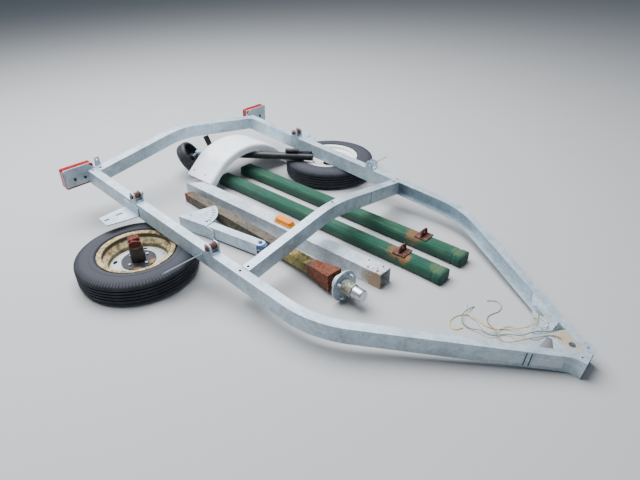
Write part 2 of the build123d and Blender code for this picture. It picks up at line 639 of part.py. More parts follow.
def wire(rows):
    """A wire's tube along its route: straight runs joined by tangent arcs."""
    points = [Vector(*row) for row in rows]
    radii = []
    for before, here, after in zip(points, points[1:], points[2:]):
        turn = (here - before).get_angle(after - here)
        radii.append(0.45 * min((here - before).length, (after - here).length) / tan(radians(turn / 2)))
    path = FilletPolyline(*rows, radius=radii)
    section = Plane(origin=path @ 0, z_dir=path % 0) * Circle(WIRE_RADIUS)
    tube = sweep(section, path=path)
    print("wire of", round(path.length), "mm, smallest arc", round(min(radii), 1), "mm, volume over section",
          round(tube.volume / (pi * WIRE_RADIUS ** 2)), "mm")
    return tube


def build():
    """Every node by name."""
    nodes = {}
    frame_pose = Pos(0, 0, FRAME_REAR_HEIGHT) * Rot(0, FRAME_NOSE_DOWN, 0)
    rail = side_rail()
    for x, y, radius in ((21, -545, RAIL_HOLE_RADIUS), (1188, -545, RAIL_HOLE_RADIUS), (2359, -30, 4.5)):
        rail -= rod((x, y, -15), (x, y, 15), radius)
    on_near_side = {
        "side_rail": rail,
        "rear_hanger": hanger(REAR_HANGER_X),
        "front_hanger": hanger(FRONT_HANGER_X),
        "rear_hanger_bolt": hanger_bolt(REAR_HANGER_X),
        "rear_fender_bracket": rear_fender_bracket(),
        "front_fender_bracket": front_fender_bracket(),
        "light_bracket": light_bracket(),
        "tail_light": tail_light(),
    }
    for name, piece in on_near_side.items():
        nodes["near_" + name] = frame_pose * piece
        nodes["far_" + name] = frame_pose * mirrored(piece)
    nodes["near_front_hanger_bolt"] = frame_pose * hanger_bolt(FRONT_HANGER_X)
    nodes["rear_crossmember"] = frame_pose * crossmember(REAR_CROSSMEMBER, REAR_CROSSMEMBER_DEPTH)
    front = crossmember(FRONT_CROSSMEMBER, FRONT_CROSSMEMBER_DEPTH)
    front -= rod((*APEX_HOLE, CROSSMEMBER_RISE - 30), (*APEX_HOLE, CROSSMEMBER_RISE + 10), RAIL_HOLE_RADIUS)
    nodes["front_crossmember"] = frame_pose * front
    nodes["tongue_mounting_plate"] = frame_pose * mounting_plate()
    nodes["wiring_tab"] = frame_pose * wiring_tab()

    near = Pos(*NEAR_WHEEL, 0)
    far = Pos(*FAR_WHEEL, 0)
    turned_over = Pos(0, 0, TYRE_WIDTH) * Rot(180, 0, 0)
    nodes["near_tyre"] = near * tyre()
    nodes["far_tyre"] = far * tyre()
    # windows: count, circle radius, length, width, first turn
    nodes["near_rim"] = near * turned_over * rim(NEAR_DISC_HEIGHT, -NEAR_LUG_TURN, (4, 107, 26, 20, 45))
    nodes["far_rim"] = far * rim(FAR_DISC_HEIGHT, 45, (8, 97, 24, 14, 0))
    nodes["near_hub"] = near * wheel_hub()
    nodes["near_spindle_stub"] = near * spindle_stub()

    tongue_length = hypot(TONGUE_FRONT[0] - TONGUE_REAR[0], TONGUE_FRONT[1] - TONGUE_REAR[1])
    nodes["tongue_tube"] = lying((*TONGUE_REAR, 0), (*TONGUE_FRONT, 0)) * tongue_tube(tongue_length)
    nodes["side_marker_light"] = marker_light()
    # name, y of the bunk, x and y of the bracket on it
    for name, y, bracket_x, bracket_y in (("near", 75, 1481, 88), ("far", 248, 1482, 266)):
        nodes[name + "_bunk"] = bunk(y)
        nodes[name + "_bunk_bracket"] = bunk_bracket(bracket_x, bracket_y)

    axle_length = (Vector(*AXLE_HUB) - Vector(*AXLE_START)).length
    axle_pose = lying(AXLE_START, AXLE_HUB)
    nodes["axle_beam"] = axle_pose * axle_beam(axle_length)
    nodes["axle_hub"] = axle_pose * hub_with_flange(axle_length)
    nodes["axle_hub_cap"] = axle_pose * grease_cap(axle_length)

    arm_length = hypot(ARM_END[0] - ARM_START[0], ARM_END[1] - ARM_START[1])
    arm_pose = lying(ARM_START, ARM_END)
    nodes["winch_post_head"] = Pos(*POST_CENTRE, 0) * post_head()
    nodes["winch_post_arm"] = arm_pose * post_arm(arm_length)
    nodes["winch_post_clevis"] = arm_pose * arm_clevis(arm_length)
    nodes["fender"] = fender_pose() * fender()

    nodes["jack_tube"] = jack_tube()
    nodes["jack_leg"] = jack_leg()
    nodes["jack_wheel"] = jack_wheel()
    nodes["jack_crank"] = jack_crank()
    nodes["jack_bracket"] = jack_bracket()
    for name, rows in WIRES.items():
        nodes[name] = wire(rows)
    return nodes


os.makedirs("parts", exist_ok=True)
for node_name, solid in build().items():
    export_step(Pos(-ORIGIN[0], -ORIGIN[1], 0) * solid, f"parts/{node_name}.step")
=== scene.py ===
# %% [markdown]
# # A dismantled boat trailer, dressed for a picture
#
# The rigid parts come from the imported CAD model, which lies in metres with Z up. This notebook
# photographs that model from above its near front corner, as if it lay on a studio floor. It then
# gives each rigid part a finish and adds what a CAD model leaves out: the tyres' tread, the
# carpet's softness, weld ripples, threads, blank labels and the mudguard's rolled edges.

# %% Load the frame
import json
import math

import bmesh
import bpy
import numpy as np
from mathutils import Matrix, Vector


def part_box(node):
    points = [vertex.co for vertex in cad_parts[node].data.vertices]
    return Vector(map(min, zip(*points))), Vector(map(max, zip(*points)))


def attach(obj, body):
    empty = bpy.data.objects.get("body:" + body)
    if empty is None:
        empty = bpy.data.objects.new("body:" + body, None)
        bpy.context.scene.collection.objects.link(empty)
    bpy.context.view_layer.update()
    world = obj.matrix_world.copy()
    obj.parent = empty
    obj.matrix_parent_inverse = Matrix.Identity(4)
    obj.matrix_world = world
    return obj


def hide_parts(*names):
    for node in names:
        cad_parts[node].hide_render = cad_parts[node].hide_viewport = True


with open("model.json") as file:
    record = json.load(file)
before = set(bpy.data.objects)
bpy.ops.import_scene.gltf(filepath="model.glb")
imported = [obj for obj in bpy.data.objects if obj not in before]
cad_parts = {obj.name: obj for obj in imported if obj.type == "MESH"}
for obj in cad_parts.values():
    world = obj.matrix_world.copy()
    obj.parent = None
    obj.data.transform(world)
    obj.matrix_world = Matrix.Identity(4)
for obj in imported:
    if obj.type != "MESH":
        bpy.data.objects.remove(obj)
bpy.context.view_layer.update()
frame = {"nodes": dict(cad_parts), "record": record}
SURVEY_ORIGIN = (1126.755, -31)


def at(x, y, z=0.0):
    """A point of the survey, in millimetres from the trailer's rear, in the model's metres."""
    return ((x - SURVEY_ORIGIN[0]) / 1000, (y - SURVEY_ORIGIN[1]) / 1000, z / 1000)


def placed(name, data):
    """A new object in the scene, at the origin, that shows a mesh or holds a lamp or camera."""
    piece = bpy.data.objects.new(name, data)
    bpy.context.collection.objects.link(piece)
    return piece


# %% [markdown]
# ## The camera
#
# A camera looks along its own minus Z, so three directions settle its pose: right, up and
# backwards. The picture was taken from eye level, tilted down by about a third of a right angle
# and a degree out of level. The lens follows from the angle of view, on a 36 mm sensor.

# %% The camera
CAMERA_PLACE = at(2522, -1521, 1353)
CAMERA_PITCH = math.radians(32.85)
CAMERA_ROLL = math.radians(1.0)
CAMERA_HEADING = math.radians(132.69)
CAMERA_LENS = 28.28
SENSOR_WIDTH = 36

level = Vector((math.cos(CAMERA_HEADING), math.sin(CAMERA_HEADING), 0))
forward = level * math.cos(CAMERA_PITCH) - Vector((0, 0, 1)) * math.sin(CAMERA_PITCH)
level_right = Vector((level.y, -level.x, 0))
level_up = level_right.cross(forward)
right = level_right * math.cos(CAMERA_ROLL) - level_up * math.sin(CAMERA_ROLL)
up = level_up * math.cos(CAMERA_ROLL) + level_right * math.sin(CAMERA_ROLL)

camera_data = bpy.data.cameras.new("camera")
camera_data.lens = CAMERA_LENS
camera_data.sensor_width = SENSOR_WIDTH
camera = placed("camera", camera_data)
turn = Matrix((right, up, -forward)).transposed()
camera.matrix_world = Matrix.Translation(CAMERA_PLACE) @ turn.to_4x4()
bpy.context.scene.camera = camera
print("the camera stands at", tuple(round(v, 3) for v in camera.location))

# %% [markdown]
# ## The loose wiring
#
# Four thin wires come out of the nose of the frame and lie in open loops on the ground. A wire is
# a curve with a round bevel. A NURBS spline of order 3 turns a short list of points into one
# smooth line that stays near the points, much as a limp wire does. The order and the endpoint
# setting have to follow the points, or Blender keeps straight runs. The wires come out of the
# holes in the nose plate, and their far ends are cut off bare.

# %% The wires' routes, in millimetres from the slots to the loose ends
WIRE_DIAMETER = 0.0036
WIRES = {
    "yellow_wire": [
        (2152, 86, 80), (2153, 78, 90), (2156, 64, 95), (2163, 44, 95), (2171, 22, 96), (2171, 2, 100),
        (2160, -9, 95), (2147, -7, 75), (2131, 6, 51), (2111, 19, 28), (2091, 24, 10), (2072, 16, 2),
        (2051, -3, 2), (2028, -16, 2), (2003, -19, 2), (1976, -12, 2), (1946, 0, 2), (1922, -4, 2),
        (1902, -20, 2), (1888, -46, 2), (1884, -79, 2), (1896, -106, 2), (1916, -119, 2),
        (1934, -110, 2), (1943, -84, 2),
    ],
    "white_wire": [
        (2162, 74, 80), (2165, 67, 90), (2173, 58, 94), (2187, 48, 93), (2200, 39, 93), (2207, 26, 93),
        (2203, 9, 95), (2192, -7, 99), (2178, -16, 99), (2163, -12, 87), (2147, 2, 68), (2127, 20, 46),
        (2104, 38, 25), (2081, 46, 9), (2063, 30, 5), (2055, -6, 9.5), (2046, -38, 9.5),
        (2029, -53, 9.5), (2006, -49, 9.5), (1983, -27, 5), (1962, -15, 5), (1942, -15, 9.5),
        (1919, -4, 9.5), (1897, 21, 4), (1882, 53, 2),
    ],
    "green_wire": [
        (2244, 56, 87.5), (2239, 40, 87.8), (2229, 20, 88.5), (2216, 1, 90.5), (2203, -17, 94),
        (2191, -33, 98), (2178, -42, 94), (2165, -40, 77), (2150, -32, 55), (2132, -20, 33),
        (2111, -9, 15), (2090, -9, 6), (2073, -24, 4), (2059, -47, 6), (2044, -66, 12), (2023, -72, 16.5),
        (2002, -68, 16), (1979, -72, 7), (1955, -75, 5), (1929, -66, 7), (1912, -43, 13),
        (1907, -11, 16.5), (1910, 29, 8), (1916, 58, 2),
    ],
    "brown_wire": [
        (2267, 3, 86), (2250, 5, 87.3), (2233, -6, 88.5), (2219, -26, 91), (2208, -48, 95),
        (2199, -66, 99), (2187, -76, 95), (2173, -74, 80), (2157, -64, 58), (2140, -55, 34),
        (2122, -50, 15), (2104, -56, 6), (2085, -61, 8), (2069, -54, 15), (2058, -40, 18),
        (2042, -26, 17), (2020, -12, 10), (1997, 4, 6), (1984, 36, 2), (1992, 67, 2), (2006, 95, 2),
        (2002, 129, 2), (1982, 149, 2), (1956, 145, 2), (1939, 125, 2),
    ],
}


def wire_line(name, rows):
    """One wire as a smooth curve. Its points carry the radius, so that its box is no wider than it."""
    line = bpy.data.curves.new(name, "CURVE")
    line.dimensions = "3D"
    line.bevel_depth = 1.0
    line.bevel_resolution = 4
    line.use_fill_caps = True
    line.resolution_u = 8
    spline = line.splines.new("NURBS")
    spline.points.add(len(rows) - 1)
    for point, row in zip(spline.points, rows):
        point.co = (*at(*row), 1)
        point.radius = WIRE_DIAMETER / 2
    spline.order_u = 3
    spline.use_endpoint_u = True
    return placed("loose_" + name, line)


wires = {name: wire_line(name, rows) for name, rows in WIRES.items()}
for name, wire in wires.items():
    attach(wire, "trailer")
    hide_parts(name)

# %% [markdown]
# ## Tools for finishes
#
# A material is a small graph. One function adds a node with its settings and its links, and one
# turns a colour given for a screen into the linear light that a renderer adds up.

# %% A node and a colour
def light_of(colour):
    """A screen colour such as "#aabbcc" as linear light."""
    channels = [int(colour[i:i + 2], 16) / 255 for i in (1, 3, 5)]
    linear = [c / 12.92 if c < 0.04045 else ((c + 0.055) / 1.055) ** 2.4 for c in channels]
    return (*linear, 1.0)


def add(tree, kind, inputs=None, **settings):
    """Adds a node. An input is a value, or a pair of node and output name for a link."""
    node = tree.nodes.new(kind)
    for name, value in settings.items():
        setattr(node, name, value)
    for socket, value in (inputs or {}).items():
        if isinstance(value, tuple) and isinstance(value[0], bpy.types.Node):
            tree.links.new(value[0].outputs[value[1]], node.inputs[socket])
        else:
            node.inputs[socket].default_value = value
    return node


print("the tools for nodes are ready")

# %% [markdown]
# ## Layers of weather
#
# All finishes have one recipe: a base colour, and layers of weather over it. A layer has a colour,
# a roughness and a mask, which says how strongly it covers what lies under it. The mask is handed
# over as a function, because its nodes can only be added once the material exists. Patterns read
# object coordinates, so they stay on a piece when it moves.

# %% The kinds of layer
def maths(tree, kind, first, second):
    """The result of a sum on two numbers, ready to be linked."""
    return add(tree, "ShaderNodeMath", {0: first, 1: second}, operation=kind), 0


def fade(tree, value, low, high, first, last):
    """A value between low and high, turned into one between first and last."""
    return add(tree, "ShaderNodeMapRange", {
        "Value": value, "From Min": low, "From Max": high, "To Min": first, "To Max": last}), "Result"


def patches(size, colour, spread, cover, roughness=None, stretch=(1, 1, 1)):
    """Patches: their size in mm, and the noise values where they start and are full."""
    def mask(tree, where):
        place = add(tree, "ShaderNodeMapping", {"Vector": where, "Scale": stretch})
        noise = add(tree, "ShaderNodeTexNoise", {
            "Vector": (place, "Vector"), "Scale": 1 / (size / 1000), "Detail": 5.0, "Roughness": 0.6})
        return fade(tree, (noise, "Fac"), *spread, 0.0, cover)
    return colour, roughness, mask


def crystals(size, colour, spread, cover):
    """Cells that each have one shade, as zinc crystals do."""
    def mask(tree, where):
        cells = add(tree, "ShaderNodeTexVoronoi", {"Vector": where, "Scale": 1 / (size / 1000)})
        shade = add(tree, "ShaderNodeSeparateColor", {"Color": (cells, "Color")})
        return fade(tree, (shade, "Red"), *spread, 0.0, cover)
    return colour, None, mask


def spot(place, size, colour, cover, roughness=None):
    """One round patch at a place in the survey. Noise moves its edge by up to 0.8 of its size."""
    def mask(tree, where):
        reach = size / 1000
        near = add(tree, "ShaderNodeVectorMath", {0: where, 1: at(*place)}, operation="DISTANCE")
        ragged = add(tree, "ShaderNodeTexNoise", {"Vector": where, "Scale": 6 / reach, "Detail": 6.0})
        spread = maths(tree, "SUBTRACT", (ragged, "Fac"), 0.5)
        wander = maths(tree, "MULTIPLY", spread, 1.6 * reach)
        edge = maths(tree, "ADD", (near, "Value"), wander)
        return fade(tree, edge, reach * 0.75, reach * 1.1, cover, 0.0)
    return colour, roughness, mask


def band(heights, colour, cover, roughness=None):
    """A band that fades in between two heights, in mm above the ground."""
    def mask(tree, where):
        height = add(tree, "ShaderNodeSeparateXYZ", {"Vector": where})
        return fade(tree, (height, "Z"), heights[0] / 1000, heights[1] / 1000, 0.0, cover)
    return colour, roughness, mask


def disc(centre, reach, colour, cover, roughness=None):
    """A disc that fades in between two distances from a wheel's axis, in mm."""
    def mask(tree, where):
        flat = add(tree, "ShaderNodeVectorMath", {0: where, 1: (1.0, 1.0, 0.0)}, operation="MULTIPLY")
        out = add(tree, "ShaderNodeVectorMath", {
            0: (flat, "Vector"), 1: at(*centre)}, operation="DISTANCE")
        return fade(tree, (out, "Value"), reach[0] / 1000, reach[1] / 1000, 0.0, cover)
    return colour, roughness, mask


print("the kinds of layer are ready")

# %% The layered finish
def layered(name, base, layers, roughness, metallic=0.0, bumps=(), **constants):
    """A finish: base colour, layers of weather over it, and bumps of given size and height in mm."""
    material = bpy.data.materials.new(name)
    material.use_nodes = True
    tree = material.node_tree
    tree.nodes.clear()
    place = add(tree, "ShaderNodeTexCoord")
    where = (place, "Object")
    colour = light_of(base)
    shine = roughness
    for tint, dullness, mask in layers:
        cover = mask(tree, where)
        mix = add(tree, "ShaderNodeMix", {0: cover, 6: colour, 7: light_of(tint)}, data_type="RGBA")
        colour = (mix, 2)
        if dullness is not None:
            mix = add(tree, "ShaderNodeMix", {0: cover, 2: shine, 3: dullness}, data_type="FLOAT")
            shine = (mix, 0)
    skin = add(tree, "ShaderNodeBsdfPrincipled", {
        "Base Color": colour, "Roughness": shine, "Metallic": metallic})
    for socket, value in constants.items():
        skin.inputs[socket.replace("_", " ").title()].default_value = value
    normal = None
    for size, height in bumps:
        grain = add(tree, "ShaderNodeTexNoise", {"Vector": where, "Scale": 1000 / size, "Detail": 4.0})
        inputs = {"Height": (grain, "Fac"), "Distance": height / 1000, "Strength": 1.0}
        if normal:
            inputs["Normal"] = (normal, "Normal")
        normal = add(tree, "ShaderNodeBump", inputs)
    if normal:
        tree.links.new(normal.outputs["Normal"], skin.inputs["Normal"])
    add(tree, "ShaderNodeOutputMaterial", {"Surface": (skin, "BSDF")})
    return material


def paint(piece, material):
    """Gives a piece one material."""
    piece.data.materials.clear()
    piece.data.materials.append(material)


print("the finish tools are ready")

# %% [markdown]
# ## Zinc and rust
#
# Hot-dip galvanising is zinc that froze on the steel in crystals some 10 mm across, the spangle.
# Weather turns it matt and pale, so it is only partly metallic here and rather rough. Rust is not
# metallic at all, and it is rougher still.

# %% Steel finishes
SPANGLE = crystals(11, "#93a1a9", (0.3, 1.0), 0.45)
CLOUDS = patches(90, "#8f9da4", (0.42, 0.66), 0.55)
WHITE_BLOOM = patches(38, "#dfe6e8", (0.5, 0.72), 0.5, 0.75)
GRIME = patches(16, "#6d6f6a", (0.6, 0.78), 0.4, 0.85)
RUST_SPECKS = patches(11, "#8a5a33", (0.69, 0.75), 0.5, 0.9)
GALVANISED_BUMPS = ((34, 0.5), (5, 0.12))

# The frame: pale blue-grey, cloudy and matt, with faint crystals.
galvanised = layered(
    "hot_dip_galvanised_steel", "#bfd0da", [SPANGLE, CLOUDS, WHITE_BLOOM, GRIME], 0.52, 0.45,
    GALVANISED_BUMPS)
# The nose plate: the same coat with a brown water stain.
galvanised_stained = layered(
    "galvanised_steel_with_rust_runs", "#bfcacf",
    [SPANGLE, CLOUDS, GRIME, RUST_SPECKS,
     spot((2290, 30, 85), 55, "#b5a083", 0.85, 0.8)],
    0.6, 0.3, GALVANISED_BUMPS)
# The tongue tube: whiter zinc, with a tan stain at its open end.
weathered_tube = layered(
    "galvanised_tube_stained_at_its_end", "#ced7dc",
    [SPANGLE, CLOUDS, WHITE_BLOOM, GRIME,
     spot((1540, -108, 30), 60, "#9a7850", 0.8, 0.85),
     spot((1480, -100, 40), 30, "#a88a62", 0.6, 0.85)],
    0.55, 0.4, GALVANISED_BUMPS)
# The axle: dull olive and brown along its length, flaky red at the spring seat.
rusty_axle = layered(
    "galvanised_axle_rusted_through", "#4c4e47",
    [patches(50, "#6b6857", (0.45, 0.62), 0.7, stretch=(0.3, 1, 1)),
     patches(14, "#4f4a38", (0.48, 0.62), 0.75, 0.85, stretch=(0.4, 1, 1)),
     spot((1190, -225, 60), 90, "#8f8a4c", 0.9, 0.8),
     spot((1150, -215, 62), 30, "#a5572b", 0.9, 0.9),
     spot((1395, -243, 62), 128, "#6b3a28", 1.0, 0.95),
     spot((262, -153, 30), 40, "#6a3826", 0.95, 0.95),
     patches(16, "#2f1912", (0.5, 0.6), 0.65, 1.0),
     patches(9, "#a5633c", (0.54, 0.64), 0.6, 1.0)],
    0.75, 0.1, ((16, 1.6), (5, 0.7)))
# Bolts and brackets: dark flakes on brown, with no shine.
rust = layered(
    "flaked_brown_rust", "#5c352b",
    [patches(16, "#7d4f42", (0.45, 0.66), 0.8),
     patches(7, "#2c1b16", (0.47, 0.58), 0.75),
     patches(11, "#9a7869", (0.54, 0.64), 0.6)],
    0.92, 0.0, ((9, 1.2), (2.5, 0.4)))
# The broken stub: redder rust on its torn end and grey steel below.
red_rust = layered(
    "fresh_red_rust_on_a_broken_axle_end", "#642c1c",
    [patches(14, "#84402a", (0.45, 0.66), 0.8),
     patches(8, "#2a1510", (0.46, 0.57), 0.8),
     band((141, 139.5), "#716359", 0.85)],
    0.92, 0.0, ((9, 1.6), (2.5, 0.5)))
# The axle's hub: mottled grey zinc, with a khaki barrel.
hub_steel = layered(
    "galvanised_hub_with_a_bare_barrel", "#a9b6bf",
    [SPANGLE, GRIME,
     patches(26, "#dde3e6", (0.52, 0.68), 0.6),
     spot((1513, -253, 69), 42, "#7c745a", 1.0, 0.7)],
    0.5, 0.35, ((16, 0.4), (5, 0.12)))
# The grease cap and the threads: the one bright metal.
bright_zinc = layered(
    "bright_zinc_plated_steel", "#c3c7c9",
    [patches(22, "#8d9092", (0.5, 0.7), 0.5, 0.6)],
    0.34, 0.9, ((20, 0.1),))
print("steel finishes are ready")

# %% [markdown]
# ## Paint, rubber and plastic
#
# Paint is a smooth coat with no metal in it, and its gloss comes from a low roughness. Rubber and
# plastic that stand outdoors lose theirs. Photographs of stains could be laid over them, but noise
# stays sharp from any distance and needs no file.

# %% Paint on the wheels and the mudguard
# The far rim: clean white paint with a few rust specks.
white_enamel = layered(
    "white_enamel_on_a_wheel", "#e9e9e4",
    [patches(24, "#b7b3a6", (0.55, 0.75), 0.4, 0.6),
     patches(8, "#7c4e30", (0.7, 0.76), 0.7, 0.9)],
    0.35, 0.0, ((30, 0.1),))
# The near rim: yellowed paint with rust patches, darker brown low down, and a painted shadow ring
# under its overhanging lip. Height and distance from the wheel's axis part its lip, bead seat,
# slope, well and disc.
NEAR_WHEEL = (655, -705)
ivory_enamel = layered(
    "yellowed_enamel_with_rust_and_painted_shade", "#d0c195",
    [patches(34, "#977f4c", (0.46, 0.64), 0.8, 0.6),
     band((66, 60), "#74603a", 0.85, 0.8),
     # Painted shade: a dark ring just under the overhanging lip, where its shadow falls.
     band((86, 90), "#3c2a1b", 0.92, 0.8),
     band((105.5, 107.5), "#bda878", 1.0),
     patches(20, "#5d4728", (0.49, 0.59), 0.75, 0.8),
     disc(NEAR_WHEEL, (131, 127), "#b9c4c3", 1.0),
     patches(13, "#6b4828", (0.55, 0.65), 0.75, 0.9),
     patches(5, "#4a2f1d", (0.66, 0.74), 0.5, 0.95)],
    0.45, 0.0, ((10, 0.3),))
# The near hub: shiny black with two rust patches.
near_hub_enamel = layered(
    "black_enamel_hub_rust_streaked", "#17191d",
    [patches(18, "#35383e", (0.52, 0.7), 0.7, 0.7),
     spot((714, -668, 62), 17, "#a8713a", 0.9, 0.9),
     spot((722, -752, 62), 20, "#8e6038", 0.85, 0.9)],
    0.42, 0.0, ((12, 0.2),))
# The mudguard: bright white, faintly clouded where it is worn.
white_steel = layered(
    "white_painted_fender", "#fbfcfe",
    [patches(120, "#dfe5ec", (0.42, 0.64), 0.45),
     patches(14, "#a7a9a8", (0.62, 0.74), 0.4, 0.7),
     patches(60, "#bdc2c6", (0.58, 0.7), 0.35, stretch=(0.2, 1, 1))],
    0.38, 0.0, ((80, 0.4),))
print("the wheels' and the mudguard's paint is ready")

# %% Rubber, plastic and small paint
# The tyres: near-black tread, a lighter grey upper wall and small grey specks.
rubber = layered(
    "dusty_black_rubber", "#1a1d24",
    [patches(40, "#272a31", (0.4, 0.62), 0.8),
     band((101, 113), "#38393f", 0.9),
     patches(55, "#37343a", (0.5, 0.7), 0.5),
     patches(7, "#66615c", (0.6, 0.75), 0.3)],
    0.84, 0.0, ((5, 0.15),))
# The jack's tube: black paint, scuffed grey and chipped to rust.
black_enamel = layered(
    "black_enamel_on_steel", "#1a1b1e",
    [patches(18, "#3d3f44", (0.52, 0.7), 0.6, 0.7),
     patches(7, "#5b3e2c", (0.68, 0.74), 0.6, 0.9)],
    0.45, 0.0, ((12, 0.15),))
# The jack's wheel and crank: dull bleached charcoal.
black_plastic = layered(
    "weathered_black_plastic", "#242528",
    [patches(20, "#46484c", (0.45, 0.65), 0.6)], 0.6, 0.0, ((4, 0.1),))
# The winch post's clevis: strong blue, chipped to steel.
blue_enamel = layered(
    "blue_enamel_chipped", "#1f4a86",
    [patches(12, "#7f8a94", (0.55, 0.62), 0.8, 0.6)],
    0.4, 0.0, ((10, 0.2),))
print("rubber, plastic and small paint are ready")

# %% [markdown]
# ## Lenses and carpet
#
# A lamp's lens is thick coloured acrylic. With the light off it looks like deep glossy paint, so a
# low roughness gives it without the cost of glass. Marine carpet is a felt of needle-punched fibre
# that wears in streaks along the bunk, so its noise is stretched that way.

# %% Lenses and carpet
# The tail lights: deep glossy red. Their two studs and nuts are dark steel, so each has a spot.
NUTS = [spot((3, y, z), 13, "#2b2d30", 1.0, 0.6)
        for y, z in ((-639, 227), (-586, 222), (639, 227), (586, 222))]
red_lens = layered(
    "red_acrylic_lens", "#8f0810",
    [patches(30, "#b5141c", (0.45, 0.7), 0.5)] + NUTS, 0.22, 0.0, ((40, 0.05),))
# The marker light: warm orange plastic, gently uneven.
amber_lens = layered(
    "amber_acrylic_lens", "#e88600",
    [patches(22, "#ff9f10", (0.45, 0.7), 0.5)], 0.4, 0.0, ((30, 0.05),))
# The carpet: deep green, faded in streaks along the bunk, darker towards the ground, and
# rust-stained at the brackets. Sheen is the light that its fine loose fibres catch at the edges.
CARPET_LAYERS = [
    patches(45, "#1f4c39", (0.45, 0.65), 0.6, stretch=(0.15, 1, 1)),
    patches(24, "#56683a", (0.54, 0.66), 0.4, stretch=(0.12, 1, 1)),
    patches(30, "#123730", (0.5, 0.66), 0.7, stretch=(0.4, 1, 1)),
    # Darker towards the ground, below 36 mm.
    band((36, 8), "#0f2f28", 0.7),
    patches(5, "#3f6653", (0.58, 0.72), 0.35),
    spot((1700, 121, 60), 36, "#5f6f45", 0.45),
    spot((1705, 294, 60), 34, "#5a6c45", 0.4),
    spot((1488, 121, 60), 46, "#80552f", 0.75, 0.95),
    spot((1545, 98, 52), 30, "#96602f", 0.7, 0.95),
    spot((1480, 290, 60), 50, "#80552f", 0.7, 0.95),
]
marine_carpet = layered(
    "needle_punched_marine_carpet", "#0f4a35", CARPET_LAYERS, 0.95, 0.0, ((7, 1.2), (2.4, 0.9)),
    sheen_weight=0.12, sheen_roughness=0.5)
print("lenses and carpet are ready")

# %% [markdown]
# ## Wire insulation
#
# Trailer wire has a thin dull PVC skin, one colour for each lamp circuit. All four share a recipe,
# and a table holds what differs, the colour.

# %% Wire insulation
INSULATION = {
    "yellow_wire": "#c9b650", "white_wire": "#d8d8cc", "green_wire": "#4f7a5c", "brown_wire": "#a88a5a",
}
for name, colour in INSULATION.items():
    grime = patches(25, "#8f8a78", (0.5, 0.7), 0.4)
    paint(wires[name], layered("pvc_insulation_of_the_" + name, colour, [grime], 0.5))
print("the wires have their colours")

# %% [markdown]
# ## Finishes on the rigid parts
#
# The CAD parts keep their shapes. A table gives each one its finish, by the name of the slot that
# the record gives it.

# %% Finish each CAD part
FINISHES = {
    "galvanised_steel": galvanised, "galvanised_rusty": rusty_axle, "rusted_steel": rust,
    "bright_cap": bright_zinc, "white_rim": white_enamel, "ivory_rim": ivory_enamel, "tyre": rubber,
    "white_fender": white_steel, "black_paint": black_enamel, "black_plastic": black_plastic,
    "red_lens": red_lens, "amber_lens": amber_lens, "blue_paint": blue_enamel,
}
SPECIAL = {
    "tongue_mounting_plate": galvanised_stained, "tongue_tube": weathered_tube, "axle_hub": hub_steel,
    "near_spindle_stub": red_rust, "near_hub": near_hub_enamel,
}
for part in frame["record"]["subparts"]:
    node = frame["nodes"][part["node"]]
    finish = SPECIAL.get(part["node"]) or FINISHES.get(part["material_slot"])
    if finish:
        paint(node, finish)
print("finished", len(frame["nodes"]), "CAD parts")

# %% [markdown]
# ## Rules that grow pieces
#
# Tread slices, weld ripples and threads repeat, so a rule makes them. A Geometry Nodes group takes
# a small seed mesh and named inputs such as a count, and its result is kept as a plain mesh.

# %% Making and running a rule
def rule(name, sockets):
    """A Geometry Nodes group with named inputs, given as rows of (name, kind, default)."""
    tree = bpy.data.node_groups.new(name, "GeometryNodeTree")
    tree.interface.new_socket("Geometry", in_out="INPUT", socket_type="NodeSocketGeometry")
    tree.interface.new_socket("Geometry", in_out="OUTPUT", socket_type="NodeSocketGeometry")
    for label, kind, default in sockets:
        socket = tree.interface.new_socket(label, in_out="INPUT", socket_type="NodeSocket" + kind)
        if default is not None:
            socket.default_value = default
    return tree, add(tree, "NodeGroupInput")


def keep(name, seed, tree, values):
    """Runs a rule on a seed mesh and keeps the result as a plain mesh object."""
    grower = placed(name + "_seed", seed)
    modifier = grower.modifiers.new(tree.name, "NODES")
    modifier.node_group = tree
    for item in tree.interface.items_tree:
        if item.in_out == "INPUT" and item.name in values:
            modifier[item.identifier] = values[item.name]
    graph = bpy.context.evaluated_depsgraph_get()
    mesh = bpy.data.meshes.new_from_object(grower.evaluated_get(graph))
    mesh.name = name
    bpy.data.objects.remove(grower)
    return placed(name, mesh)


def polygons(name, points, faces, edges=()):
    """A mesh from points and faces, or from points and loose edges."""
    mesh = bpy.data.meshes.new(name)
    mesh.from_pydata([tuple(point) for point in points], edges, faces)
    mesh.update()
    return mesh


def joined(count, here, after):
    """Faces between two matching outlines, from the numbers of their first points."""
    faces = []
    for i in range(count):
        beside = (i + 1) % count
        faces.append((here + i, after + i, after + beside, here + beside))
    return faces


def lines(name, pairs):
    """A mesh of loose straight lines, from pairs of end points."""
    edges = [(2 * i, 2 * i + 1) for i in range(len(pairs))]
    return polygons(name, sum(pairs, []), [], edges)


def smooth(mesh, angle):
    """Shades a mesh smoothly, with sharp edges above an angle in degrees."""
    mesh.shade_smooth()
    mesh.set_sharp_from_angle(angle=math.radians(angle))


FRAME_DIP = math.radians(4.325)
FRAME_REAR_HEIGHT = 255.1


def on_frame(x, y, z=0.0):
    """A point of the frame's own plan, on the frame as it lies, nose down."""
    along = x * math.cos(FRAME_DIP) + z * math.sin(FRAME_DIP)
    return at(along, y, FRAME_REAR_HEIGHT - x * math.sin(FRAME_DIP) + z * math.cos(FRAME_DIP))


